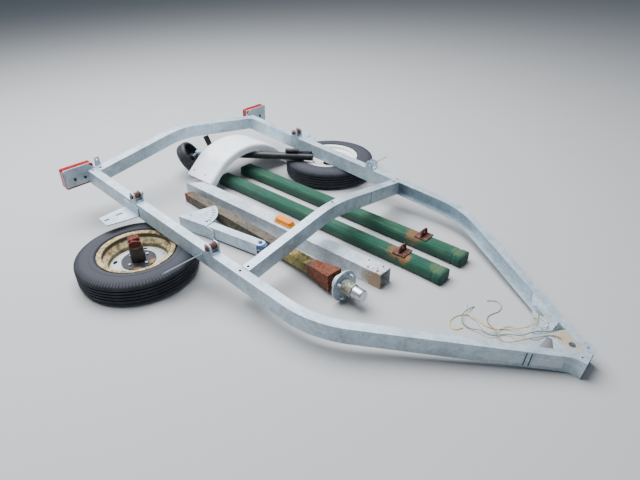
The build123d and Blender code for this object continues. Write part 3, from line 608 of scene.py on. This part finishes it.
def end_rule(tree, given, spread, merge=None):
    """Ends a rule: sets out copies, makes them real, merges them and gives them their material."""
    copies = add(tree, "GeometryNodeInstanceOnPoints", spread)
    shape = add(tree, "GeometryNodeRealizeInstances", {"Geometry": (copies, "Instances")})
    if merge:
        shape = add(tree, "GeometryNodeMergeByDistance", {
            "Geometry": (shape, "Geometry"), "Distance": merge})
    dressed = add(tree, "GeometryNodeSetMaterial", {
        "Geometry": (shape, "Geometry"), "Material": (given, "Material")})
    add(tree, "NodeGroupOutput", {0: (dressed, "Geometry")})


def end_with_beads(tree, given, step, segments, rings, scale):
    """Ends a rule with one small round bead at every step along its lines."""
    line = add(tree, "GeometryNodeMeshToCurve", {"Mesh": (given, "Geometry")})
    steps = add(tree, "GeometryNodeCurveToPoints", {
        "Curve": (line, "Curve"), "Length": (given, step)}, mode="LENGTH")
    bead = add(tree, "GeometryNodeMeshUVSphere", {"Segments": segments, "Rings": rings, "Radius": 1.0})
    end_rule(tree, given, {
        "Points": (steps, "Points"), "Instance": (bead, "Mesh"), "Rotation": (steps, "Rotation"),
        "Scale": scale})


print("the rules' tools are ready")

# %% [markdown]
# ## Tyres
#
# One slice of a tyre is a ring of corner points, drawn as (radius, height) in millimetres. Four
# grooves run round the tread, and each slice has one fine cut in either shoulder. The rule sets
# 120 slices round the wheel's centre and welds them into one body.

# %% The slice of a tyre
TYRE_SLICES = 120
GROOVES = (39, 54, 69, 84)
GROOVE_DEPTH = 5.5
CUT_DEPTH = 3.0
TYRE_RADIUS = 266
SECTION_MIDDLE = (225, 61)

tread = [(TYRE_RADIUS - 0.6, 28)]
for height in GROOVES:
    for step, sink in ((-3, 0), (-2, GROOVE_DEPTH), (2, GROOVE_DEPTH), (3, 0)):
        tread.append((TYRE_RADIUS - sink, height + step))
tread.append((TYRE_RADIUS - 0.6, 94))
lower_side = [
    (152.9, 19), (174, 17), (176, 9), (181, 2.6), (188, 0.3), (197, 0.2), (198, 1.2), (201, 1.2),
    (202, 0.2), (218, 0.2), (232, 3.4), (240, 7.2), (252, 13.4), (259, 17.3), (263.6, 22),
]
upper_side = [
    (263.6, 100), (259, 104.7), (252, 107.2), (240, 111.4), (232, 113.9), (218, 116.5),
    (202, 117.4), (201, 118.6), (198, 118.8), (197, 117.9), (188, 118.5), (181, 116.4), (176, 111),
    (174, 105), (152.9, 103),
]
SLICE = lower_side + tread + upper_side
# Corners of the slice that the cut sinks, and the share of its depth
CUTS = {11: 0.5, 12: 0.8, 13: 1.0, 14: 1.0, 33: 1.0, 34: 1.0, 35: 0.8, 36: 0.5}

# Where the outlines stand, as shares of a slice's width. The middle one is the cut.
OUTLINES = (0, 0.36, 0.5, 0.64, 1)


def slice_mesh():
    """A slice: five outlines side by side. The middle one is sunk at both shoulders."""
    width = math.tau / TYRE_SLICES
    middle_out, middle_up = SECTION_MIDDLE
    points = []
    faces = []
    for column, share in enumerate(OUTLINES):
        turn = share * width
        for index, (radius, height) in enumerate(SLICE):
            sink = CUT_DEPTH * CUTS.get(index, 0) if column == 2 else 0
            inward = math.hypot(middle_out - radius, middle_up - height)
            out = radius + sink * (middle_out - radius) / inward
            up = height + sink * (middle_up - height) / inward
            points.append((out * math.cos(turn) / 1000, out * math.sin(turn) / 1000, up / 1000))
    count = len(SLICE)
    for column in range(len(OUTLINES) - 1):
        faces += joined(count, column * count, (column + 1) * count)
    return polygons("tyre_slice", points, faces)


print("a tyre's slice has", len(SLICE), "corners")

# %% Ring the slices round each wheel
tyre_rule, given = rule("ring_of_slices", [
    ("Count", "Int", TYRE_SLICES), ("Centre", "Vector", None), ("Material", "Material", None)])
places = add(tyre_rule, "GeometryNodePoints", {"Count": (given, "Count"), "Position": (given, "Centre")})
place_number = add(tyre_rule, "GeometryNodeInputIndex")
turn_share = maths(tyre_rule, "DIVIDE", (place_number, "Index"), (given, "Count"))
angle = maths(tyre_rule, "MULTIPLY", turn_share, math.tau)
spin = add(tyre_rule, "ShaderNodeCombineXYZ", {"Z": angle})
end_rule(tyre_rule, given, {
    "Points": (places, "Points"), "Instance": (given, "Geometry"),
    "Rotation": (spin, "Vector")}, merge=0.00005)

FAR_WHEEL = (616, 643)
for name, centre in (("near_tyre", NEAR_WHEEL), ("far_tyre", FAR_WHEEL)):
    tyre = keep(name + "_with_tread", slice_mesh(), tyre_rule, {
        "Centre": at(*centre), "Material": rubber})
    smooth(tyre.data, 28)
    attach(tyre, "trailer")
    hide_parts(name)
    print(name, "has", len(tyre.data.polygons), "faces")

# %% [markdown]
# ## Carpet on the bunks
#
# A bunk is a board wrapped in marine carpet, which swells over the flat sides and is tight at the
# edges. A cloth simulation does that: a slightly smaller copy of the board's solid is remeshed
# evenly, filled with a little pressure for twenty frames, and held to a few millimetres of
# movement.

# %% Carpet tools
CARPET_SHRINK = 0.0025
CARPET_SWELL = 0.0055
CARPET_VOXEL = 0.006
# x and y of each bracket's base, in the survey's millimetres
BRACKETS = {"near_bunk": (1481, 88), "far_bunk": (1482, 266)}
BRACKET_SIZE = (0.066, 0.072)


def merged_copy(name, node):
    """A copy of a CAD mesh with its loose triangles joined up."""
    soft = bmesh.new()
    soft.from_mesh(frame["nodes"][node].data)
    bmesh.ops.remove_doubles(soft, verts=soft.verts, dist=0.00002)
    mesh = bpy.data.meshes.new(name)
    soft.to_mesh(mesh)
    soft.free()
    return mesh


def applied(piece):
    """Turns an object's modifiers into its mesh."""
    graph = bpy.context.evaluated_depsgraph_get()
    mesh = bpy.data.meshes.new_from_object(piece.evaluated_get(graph))
    piece.modifiers.clear()
    piece.data = mesh


def corners_of(mesh):
    """The vertex places of a mesh as an array of rows."""
    flat = np.empty(len(mesh.vertices) * 3)
    mesh.vertices.foreach_get("co", flat)
    return flat.reshape(-1, 3)


def move_corners(mesh, rows):
    """Writes an array of rows back as the vertex places."""
    mesh.vertices.foreach_set("co", rows.ravel())
    mesh.update()


print("carpet tools are ready")

# %% Swell the carpet
CLOTH_PRESSURE = 4.0
CLOTH_FRAMES = 20


def swollen(piece):
    """Fills a closed mesh with a little air pressure, as far as CARPET_SWELL lets it."""
    before = corners_of(piece.data)
    cloth = piece.modifiers.new("carpet", "CLOTH")
    cloth.settings.use_pressure = True
    cloth.settings.uniform_pressure_force = CLOTH_PRESSURE
    cloth.settings.effector_weights.gravity = 0
    cloth.settings.quality = 4
    scene = bpy.context.scene
    scene.frame_start = 1
    for number in range(1, CLOTH_FRAMES + 1):
        scene.frame_set(number)
    applied(piece)
    scene.frame_set(1)
    after = corners_of(piece.data)
    move = after - before
    reach = np.linalg.norm(move, axis=1, keepdims=True)
    limit = CARPET_SWELL * np.tanh(reach / CARPET_SWELL)
    move_corners(piece.data, before + move * limit / np.maximum(reach, 1e-9))


print("the swelling is held to", CARPET_SWELL * 1000, "mm")

# %% [markdown]
# ## Settling the carpet
#
# Thick carpet turns round a board's edges in a wide curve, lies flat on the ground, and is pressed
# flat under the rusted bracket. At both ends it is folded over, which leaves a line across it.
# These are rules about places, so they move the mesh's points directly, after the simulation.

# %% Round, press and fold
FOLD_LENGTH = 0.046
FOLD_DEPTH = 0.0022
FOLD_WIDTH = 0.004
FOLD_SIDE = 0.02
EDGE_ROUND = 0.026
END_ROUND = 0.022
CROWN = 0.003
PRESS_REACH = 0.03


def roll_edges(rows, low, high):
    """Rounds the long upper edges and the ends, where carpet is thick over the board's corners."""
    for side, other, radius in ((1, 2, EDGE_ROUND), (0, 2, END_ROUND), (0, 1, END_ROUND)):
        for edge, sign in ((low[side], -1), (high[side], 1)):
            tops = ((high[other], 1),) if other == 2 else ((low[other], -1), (high[other], 1))
            for top, up in tops:
                out = (rows[:, side] - (edge - sign * radius)) * sign
                rise = (rows[:, other] - (top - up * radius)) * up
                reach = np.hypot(out, rise)
                past = (out > 0) & (rise > 0) & (reach > radius)
                share = np.where(past, radius / np.maximum(reach, 1e-9), 1)
                rows[:, side] = edge - sign * radius + sign * np.where(share < 1, out * share, out)
                rows[:, other] = top - up * radius + up * np.where(share < 1, rise * share, rise)


def settle(mesh, low, high, bracket):
    """Presses the carpet flat on the ground and under its bracket, and folds its ends."""
    rows = corners_of(mesh)
    roll_edges(rows, np.array(low), np.array(high))
    x, y, z = rows.T
    gap_x = np.maximum(np.maximum(bracket.x - x, x - bracket.x - BRACKET_SIZE[0]), 0)
    gap_y = np.maximum(np.maximum(bracket.y - y, y - bracket.y - BRACKET_SIZE[1]), 0)
    free = np.clip(np.hypot(gap_x, gap_y) / PRESS_REACH, 0, 1)
    ceiling = high[2] + CROWN * free * free * (3 - 2 * free)
    rows[:, 2] = np.clip(z, 0, ceiling)
    to_end = np.minimum(x - low[0], high[0] - x)
    crease = np.exp(-((to_end - FOLD_LENGTH) / FOLD_WIDTH) ** 2)
    middle_y = (low[1] + high[1]) / 2
    squeeze = 1 - FOLD_DEPTH * crease / ((high[1] - low[1]) / 2)
    rows[:, 1] = middle_y + (y - middle_y) * squeeze
    rows[:, 2] -= np.where(z > high[2] - FOLD_SIDE, FOLD_DEPTH * crease, 0)
    move_corners(mesh, rows)


print("the carpet's rules are ready")

# %% Carpet both bunks
for name, place in BRACKETS.items():
    low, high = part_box(name)
    carpet = placed(name + "_carpet", merged_copy(name + "_carpet", name))
    rows = corners_of(carpet.data)
    middle = (np.array(low) + np.array(high)) / 2
    half = (np.array(high) - np.array(low)) / 2
    move_corners(carpet.data, middle + (rows - middle) * (half - CARPET_SHRINK) / half)
    remesh = carpet.modifiers.new("even", "REMESH")
    remesh.mode = "VOXEL"
    remesh.voxel_size = CARPET_VOXEL
    applied(carpet)
    swollen(carpet)
    finer = carpet.modifiers.new("finer", "SUBSURF")
    finer.levels = 1
    applied(carpet)
    settle(carpet.data, low, high, Vector(at(*place)))
    smooth(carpet.data, 60)
    paint(carpet, marine_carpet)
    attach(carpet, "trailer")
    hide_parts(name)
    print(name, "has", len(carpet.data.polygons), "faces")

# %% [markdown]
# ## Weld beads
#
# The frame is welded, and a bead is a row of small overlapping ripples of molten metal. The rule
# takes the seams as lines, cuts them into steps of one ripple, and sets a drop on each, with its
# size varied a little from a fixed seed.

# %% Weld beads along the frame's seams
weld_rule, given = rule("weld_ripples", [
    ("Step", "Float", 0.0023), ("Size", "Float", 0.0026), ("Seed", "Int", 7),
    ("Material", "Material", None)])
uneven = add(weld_rule, "FunctionNodeRandomValue", {2: 0.75, 3: 1.2, "Seed": (given, "Seed")})
scale = maths(weld_rule, "MULTIPLY", (uneven, 1), (given, "Size"))
end_with_beads(weld_rule, given, "Step", 8, 5, scale)

# In the frame's own plan: start x, y, z and end x, y, z
RAIL_INNER = 523
NEAR_SEAMS = [
    (50.5, -RAIL_INNER, -2, 50.5, -RAIL_INNER, -66), (2, -RAIL_INNER, 0.4, 48, -RAIL_INNER, 0.4),
    (1214.5, -RAIL_INNER, -2, 1214.5, -RAIL_INNER, -72), (1174, -RAIL_INNER, 0.4, 1212, -RAIL_INNER, 0.4),
    (1171.5, -RAIL_INNER, -2, 1171.5, -RAIL_INNER, -72),
]
for x in (438, 1012):
    NEAR_SEAMS += [(x + side, -566, 1, x + side, -524, 1) for side in (-24.5, 24.5)]
SEAMS = NEAR_SEAMS + [(a, -b, c, d, -e, f) for a, b, c, d, e, f in NEAR_SEAMS]
SEAMS += [(2116, 152, -1, 2200, 94, -1), (1214.8, 280, 40, 1214.8, 281, -30)]
seam_lines = [[on_frame(*row[:3]), on_frame(*row[3:])] for row in SEAMS]
welds = keep("weld_beads", lines("seams", seam_lines), weld_rule, {"Material": galvanised})
smooth(welds.data, 60)
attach(welds, "trailer")
print("weld beads:", len(SEAMS), "seams,", len(welds.data.polygons), "faces")

# %% [markdown]
# ## Labels, lines and lamp trim
#
# The near rail's outer face carries two blank labels and two dark lines near its coupling end, and
# each tail lamp has a pale seam round its red lens. All are outlines with rounded corners, given a
# thickness: a flat picture on the steel would have no edge to catch the light.

# %% Thin pieces from rounded outlines
RAIL_TURN = math.radians(34.6)
RAIL_BEND = 1593
RAIL_OUTER = 567


def on_rail(x, z, out):
    """A point on the near rail's outer face, ahead of its bend."""
    inward = (x - RAIL_BEND) * math.tan(RAIL_TURN)
    return on_frame(x + out * math.sin(RAIL_TURN), inward - RAIL_OUTER - out * math.cos(RAIL_TURN), z)


def rounded(wide, tall, corner):
    """The corner points of a rounded rectangle about its middle."""
    points = []
    for across, up, first in ((1, 1, 0), (-1, 1, 90), (-1, -1, 180), (1, -1, 270)):
        for step in range(0, 91, 18):
            turn = math.radians(first + step)
            points.append((across * (wide / 2 - corner) + corner * math.cos(turn),
                           up * (tall / 2 - corner) + corner * math.sin(turn)))
    return points


def slab(name, low, high, material):
    """A flat piece between two matching outlines."""
    count = len(low)
    faces = [tuple(range(count))[::-1], tuple(range(count, 2 * count))]
    faces += joined(count, count, 0)
    piece = placed(name, polygons(name, low + high, faces))
    paint(piece, material)
    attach(piece, "trailer")
    return piece


def hoop(name, rings, material):
    """A closed band from four matching outlines, each joined to the next."""
    count = len(rings[0])
    faces = []
    for index in range(4):
        faces += joined(count, (index + 1) % 4 * count, index * count)
    piece = placed(name, polygons(name, sum(rings, []), faces))
    paint(piece, material)
    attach(piece, "trailer")
    return piece


print("the tools for thin pieces are ready")

# %% Labels, lines and lamp trim
# Blank vinyl: a paler and duller rectangle on the zinc.
label_vinyl = layered(
    "weathered_grey_vinyl_label", "#c2cfd5",
    [patches(30, "#dde5e8", (0.42, 0.62), 0.7),
     patches(8, "#8b99a0", (0.55, 0.7), 0.5)], 0.62, 0.0, ((20, 0.2),))
# Two dark painted lines beside the labels.
dark_line = layered(
    "dark_painted_line", "#2b3a44",
    [patches(10, "#5a6a74", (0.5, 0.7), 0.6)], 0.7)
# A pale pink line between a lamp's housing and its lens.
lamp_trim = layered(
    "pale_lamp_seam", "#e3c9c6", [patches(9, "#b57a78", (0.5, 0.7), 0.6)], 0.4)

# How far the back and the front of a label or line stand off the steel
LABEL_OFFSETS = (0.05, 0.7)
# name, middle x and z on the rail, width, height, corner, material
FACE_PIECES = [
    ("rail_label_rear", 2153, -40, 128, 38, 5, label_vinyl),
    ("rail_label_front", 2276, -40, 100, 38, 5, label_vinyl),
    ("rail_line_rear", 2212, -37, 4, 64, 1.8, dark_line),
    ("rail_line_front", 2227, -37, 4, 64, 1.8, dark_line),
]
for name, x, z, wide, tall, corner, material in FACE_PIECES:
    outline = rounded(wide, tall, corner)
    places = [(x + a * math.cos(RAIL_TURN), z + b) for a, b in outline]
    back, front = ([on_rail(*place, out) for place in places] for out in LABEL_OFFSETS)
    slab(name, back, front, material)

LAMP_SIZE = (159, 105)
LAMP_CORNER = 10
LAMP_MIDDLE = (610.5, -21.5)
# The seam's section: place along the frame, and growth past the lamp's outline
SEAM_SECTION = ((-9, 0.2), (-9, 1.6), (-5, 1.6), (-5, 0.2))
for side, name in ((-1, "near_lamp_trim"), (1, "far_lamp_trim")):
    rings = []
    for x, grow in SEAM_SECTION:
        outline = rounded(LAMP_SIZE[0] + 2 * grow, LAMP_SIZE[1] + 2 * grow, LAMP_CORNER + grow)
        rings.append([on_frame(x, side * LAMP_MIDDLE[0] + a, b + LAMP_MIDDLE[1]) for a, b in outline])
    trim = hoop(name, rings, lamp_trim)
print("labels, lines and lamp trim are on")

# %% [markdown]
# ## The mudguard's shell
#
# A pressed steel mudguard has soft shoulders and deep side skirts, and both its ends are bent flat
# along a crease. Its section is swept round the arch in one mesh: points across the width, with a
# crown, two shoulders and two skirts, then back inside one sheet's thickness away. The two bolt
# holes are cut with a Boolean modifier.

# %% The mudguard's section
ARCH_STEPS = 64
FENDER_RADIUS = 370
FENDER_HALF_ANGLE = math.radians(58)
FENDER_LEAN = math.radians(6.32)
FENDER_MIDDLE = (95, 242.8, -148.4)
FENDER_WIDTH = 230
FENDER_SHEET = 1.6
SKIRT_DEPTH = 46
SKIRT_DEPTH_AT_GROUND = 24
# Across the width, above the skirt's hem: offset from the edge and drop below the crown
SHOULDER = [(0, 19), (1.2, 12.5), (4.6, 7), (9.8, 3), (16.5, 1), (26, 0.3), (60, 0)]
# Creases and the stretch where the skirt tapers off, in radians round the arch
CREASES = (-0.62, 0.60)
TAPER = (0.7, 1.0)


def fender_point(across, turn, drop):
    """A point of the mudguard: across its width, round its arch, and below its crown."""
    radius = FENDER_RADIUS - drop
    middle_x, middle_y, middle_z = FENDER_MIDDLE
    swing = turn + FENDER_LEAN
    side = middle_y + radius * math.sin(swing)
    return at(middle_x + across, side, middle_z + radius * math.cos(swing))


def fender_section(turn):
    """The closed section at one place round the arch: the outer skin, then the inner one."""
    to_ground = min(max((turn - TAPER[0]) / (TAPER[1] - TAPER[0]), 0), 1)
    depth = SKIRT_DEPTH + (SKIRT_DEPTH_AT_GROUND - SKIRT_DEPTH) * to_ground
    flat = 0
    for crease in CREASES:
        if abs(turn) > abs(crease) and turn * crease > 0:
            span = FENDER_HALF_ANGLE - abs(crease)
            place = (abs(turn) - abs(crease)) / span
            flat = 4 * place * (1 - place) * FENDER_RADIUS * (1 - math.cos(span / 2))
    skins = []
    for sheet in (0, FENDER_SHEET):
        half = [(sheet, depth)]
        for edge, drop in SHOULDER:
            inset = sheet * (1 if drop > 4 else 0.4)
            half.append((edge + inset, drop + flat + sheet))
        rows = half + [(FENDER_WIDTH - edge, drop) for edge, drop in half[::-1]]
        skins.append([fender_point(edge, turn, drop) for edge, drop in rows])
    return skins[0] + skins[1][::-1]


print("the mudguard's section has", len(fender_section(0)), "corners")

# %% Sweep the section round the arch
turns = [-FENDER_HALF_ANGLE + 2 * FENDER_HALF_ANGLE * step / ARCH_STEPS for step in range(ARCH_STEPS + 1)]
sections = [fender_section(turn) for turn in turns]
count = len(sections[0])
faces = []
for number in range(ARCH_STEPS):
    faces += joined(count, number * count, (number + 1) * count)
half_count = count // 2
for start, flip in ((0, 1), (ARCH_STEPS * count, -1)):
    for i in range(half_count - 1):
        cap = (start + i, start + i + 1, start + count - 2 - i, start + count - 1 - i)
        faces.append(cap[::flip])
shell = placed("mudguard_shell", polygons("mudguard_shell", sum(sections, []), faces))
print("the swept shell has", len(faces), "faces")

# %% Drill the bolt holes
BOLT_HOLES_ACROSS = (44, 152)
BOLT_HOLES_TURN = math.radians(5.5) - FENDER_HALF_ANGLE
BOLT_HOLE_RADIUS = 0.006
cutter = bmesh.new()
for across in BOLT_HOLES_ACROSS:
    ends = [Vector(fender_point(across, BOLT_HOLES_TURN, drop)) for drop in (-8, 12)]
    axis = (ends[1] - ends[0]).normalized()
    spin = axis.to_track_quat("Z", "Y").to_matrix().to_4x4()
    bmesh.ops.create_cone(
        cutter, cap_ends=True, segments=20, radius1=BOLT_HOLE_RADIUS, radius2=BOLT_HOLE_RADIUS,
        depth=(ends[1] - ends[0]).length, matrix=Matrix.Translation((ends[0] + ends[1]) / 2) @ spin)
cutter_mesh = bpy.data.meshes.new("bolt_hole_cutter")
cutter.to_mesh(cutter_mesh)
cutter.free()
drill = placed("bolt_hole_cutter", cutter_mesh)
cut = shell.modifiers.new("bolt_holes", "BOOLEAN")
cut.object = drill
applied(shell)
bpy.data.objects.remove(drill)
smooth(shell.data, 35)
paint(shell, white_steel)
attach(shell, "trailer")
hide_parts("fender")
print("the mudguard has", len(shell.data.polygons), "faces")

# %% [markdown]
# ## Small steel pieces
#
# The front fender brackets are flat strips set aslant, so from the camera's side only their edges
# show. A strip is a rounded outline drawn twice, one sheet's thickness apart, with a band of faces
# between the two.

# %% Slanted bracket strips
STRIP_SIZE = (183, 46, 7)
STRIP_MIDDLE = (957.5, 660, -29.5)
STRIP_RISE = math.radians(41.5)
STRIP_HALF_SHEET = 2.4


def strip(name, side):
    """A flat strip with rounded corners, standing out aslant from a side rail."""
    outline = rounded(*STRIP_SIZE)
    layers = []
    for lift in (-STRIP_HALF_SHEET, STRIP_HALF_SHEET):
        rows = []
        for out, wide in outline:
            x = STRIP_MIDDLE[0] + wide * math.cos(STRIP_RISE) - lift * math.sin(STRIP_RISE)
            z = STRIP_MIDDLE[2] + wide * math.sin(STRIP_RISE) + lift * math.cos(STRIP_RISE)
            rows.append(on_frame(x, side * (STRIP_MIDDLE[1] + out), z))
        layers.append(rows)
    return slab(name, *layers, galvanised)


for side, name in ((-1, "near_front_fender_bracket"), (1, "far_front_fender_bracket")):
    piece = strip(name + "_strip", side)
    cleaner = bmesh.new()
    cleaner.from_mesh(piece.data)
    bmesh.ops.recalc_face_normals(cleaner, faces=cleaner.faces)
    cleaner.to_mesh(piece.data)
    cleaner.free()
    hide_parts(name)
print("the bracket strips are on")

# %% [markdown]
# ## Threads and stud ends
#
# A thread is a helix, but on a thin stud a stack of flat rings looks the same and closes better.
# The rule takes each stud as a line and sets a ring on it at every turn. The axle's hub has long
# studs, and the near hub shows only the pale ends of its own.

# %% Threads and stud ends
# Half a ring's thickness as a share of the pitch. Above a half, rings run into each other.
RING_SHARE = 0.62
thread_rule, given = rule("stacked_rings", [
    ("Pitch", "Float", 0.0018), ("Radius", "Float", 0.0063), ("Material", "Material", None)])
thick = maths(thread_rule, "MULTIPLY", (given, "Pitch"), RING_SHARE)
size = add(thread_rule, "ShaderNodeCombineXYZ", {
    "X": (given, "Radius"), "Y": (given, "Radius"), "Z": thick})
end_with_beads(thread_rule, given, "Pitch", 12, 4, (size, "Vector"))

# The hub's axis, and two directions square to it, in the model's metres
hub_place = Vector(at(1480, -250, 68.2))
hub_axis = Vector((0.996236, -0.079375, 0.034828))
hub_up = (Vector((0, 0, 1)) - hub_axis * hub_axis.z).normalized()
hub_side = hub_up.cross(hub_axis)
BOLT_CIRCLE_RADIUS = 50.8
HUB_STUD_TURN = 54
HUB_STUD_SPAN = (0.0065, 0.0235)
NEAR_STUD_TURN = 11
NEAR_STUD_HEIGHTS = (64, 66.6)
hub_studs = []
for number in range(4):
    turn = math.radians(HUB_STUD_TURN + 90 * number)
    out = math.sin(turn) * hub_side - math.cos(turn) * hub_up
    foot = hub_place + BOLT_CIRCLE_RADIUS / 1000 * out
    hub_studs.append([foot + hub_axis * reach for reach in HUB_STUD_SPAN])
stud_lines = lines("stud_lines", hub_studs)
threads = keep("hub_stud_threads", stud_lines, thread_rule, {"Material": bright_zinc})
smooth(threads.data, 50)
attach(threads, "axle_hub")

near_studs = []
for number in range(4):
    turn = math.radians(NEAR_STUD_TURN + 90 * number)
    x = NEAR_WHEEL[0] + BOLT_CIRCLE_RADIUS * math.cos(turn)
    y = NEAR_WHEEL[1] + BOLT_CIRCLE_RADIUS * math.sin(turn)
    near_studs.append([at(x, y, z) for z in NEAR_STUD_HEIGHTS])
ends = keep("near_stud_ends", lines("stud_end_lines", near_studs), thread_rule, {
    "Radius": 0.0066, "Pitch": 0.0024, "Material": hub_steel})
smooth(ends.data, 50)
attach(ends, "trailer")
print("threads:", len(threads.data.polygons), "faces; stud ends:", len(ends.data.polygons))

# %% [markdown]
# ## Floor and light
#
# The trailer lay under a bright overcast sky. A wide soft lamp over its rear end and a dim even
# world give that: upper faces are bright, upright faces are darker, and no shadow is sharp. The
# floor is pale and matt, so it shows soft shadows without glare.

# %% Floor, lamp and world
FLOOR_REACH = 40
corners = [(x * FLOOR_REACH, y * FLOOR_REACH, 0) for x, y in ((-1, -1), (1, -1), (1, 1), (-1, 1))]
floor = placed("floor", polygons("floor", corners, [(0, 1, 2, 3)]))
paint(floor, layered("pale_studio_floor", "#b2b1ae", [], 0.9))

sky_lamp = bpy.data.lights.new("sky", "AREA")
sky_lamp.shape = "DISK"
sky_lamp.size = 5.0
sky_lamp.energy = 720
sky_lamp.color = light_of("#f4f8ff")[:3]
sky = placed("sky", sky_lamp)
sky.location = (-1.7, -0.1, 4.1)
sky.rotation_euler = (0, math.radians(-20), 0)

world = bpy.data.worlds.new("overcast")
world.use_nodes = True
world.node_tree.nodes["Background"].inputs["Color"].default_value = light_of("#c9dcf4")
world.node_tree.nodes["Background"].inputs["Strength"].default_value = 0.26
bpy.context.scene.world = world
print("the stage is lit")

# %% [markdown]
# ## The end
#
# Last, the view layer is brought up to date.

# %% The end
bpy.context.view_layer.update()
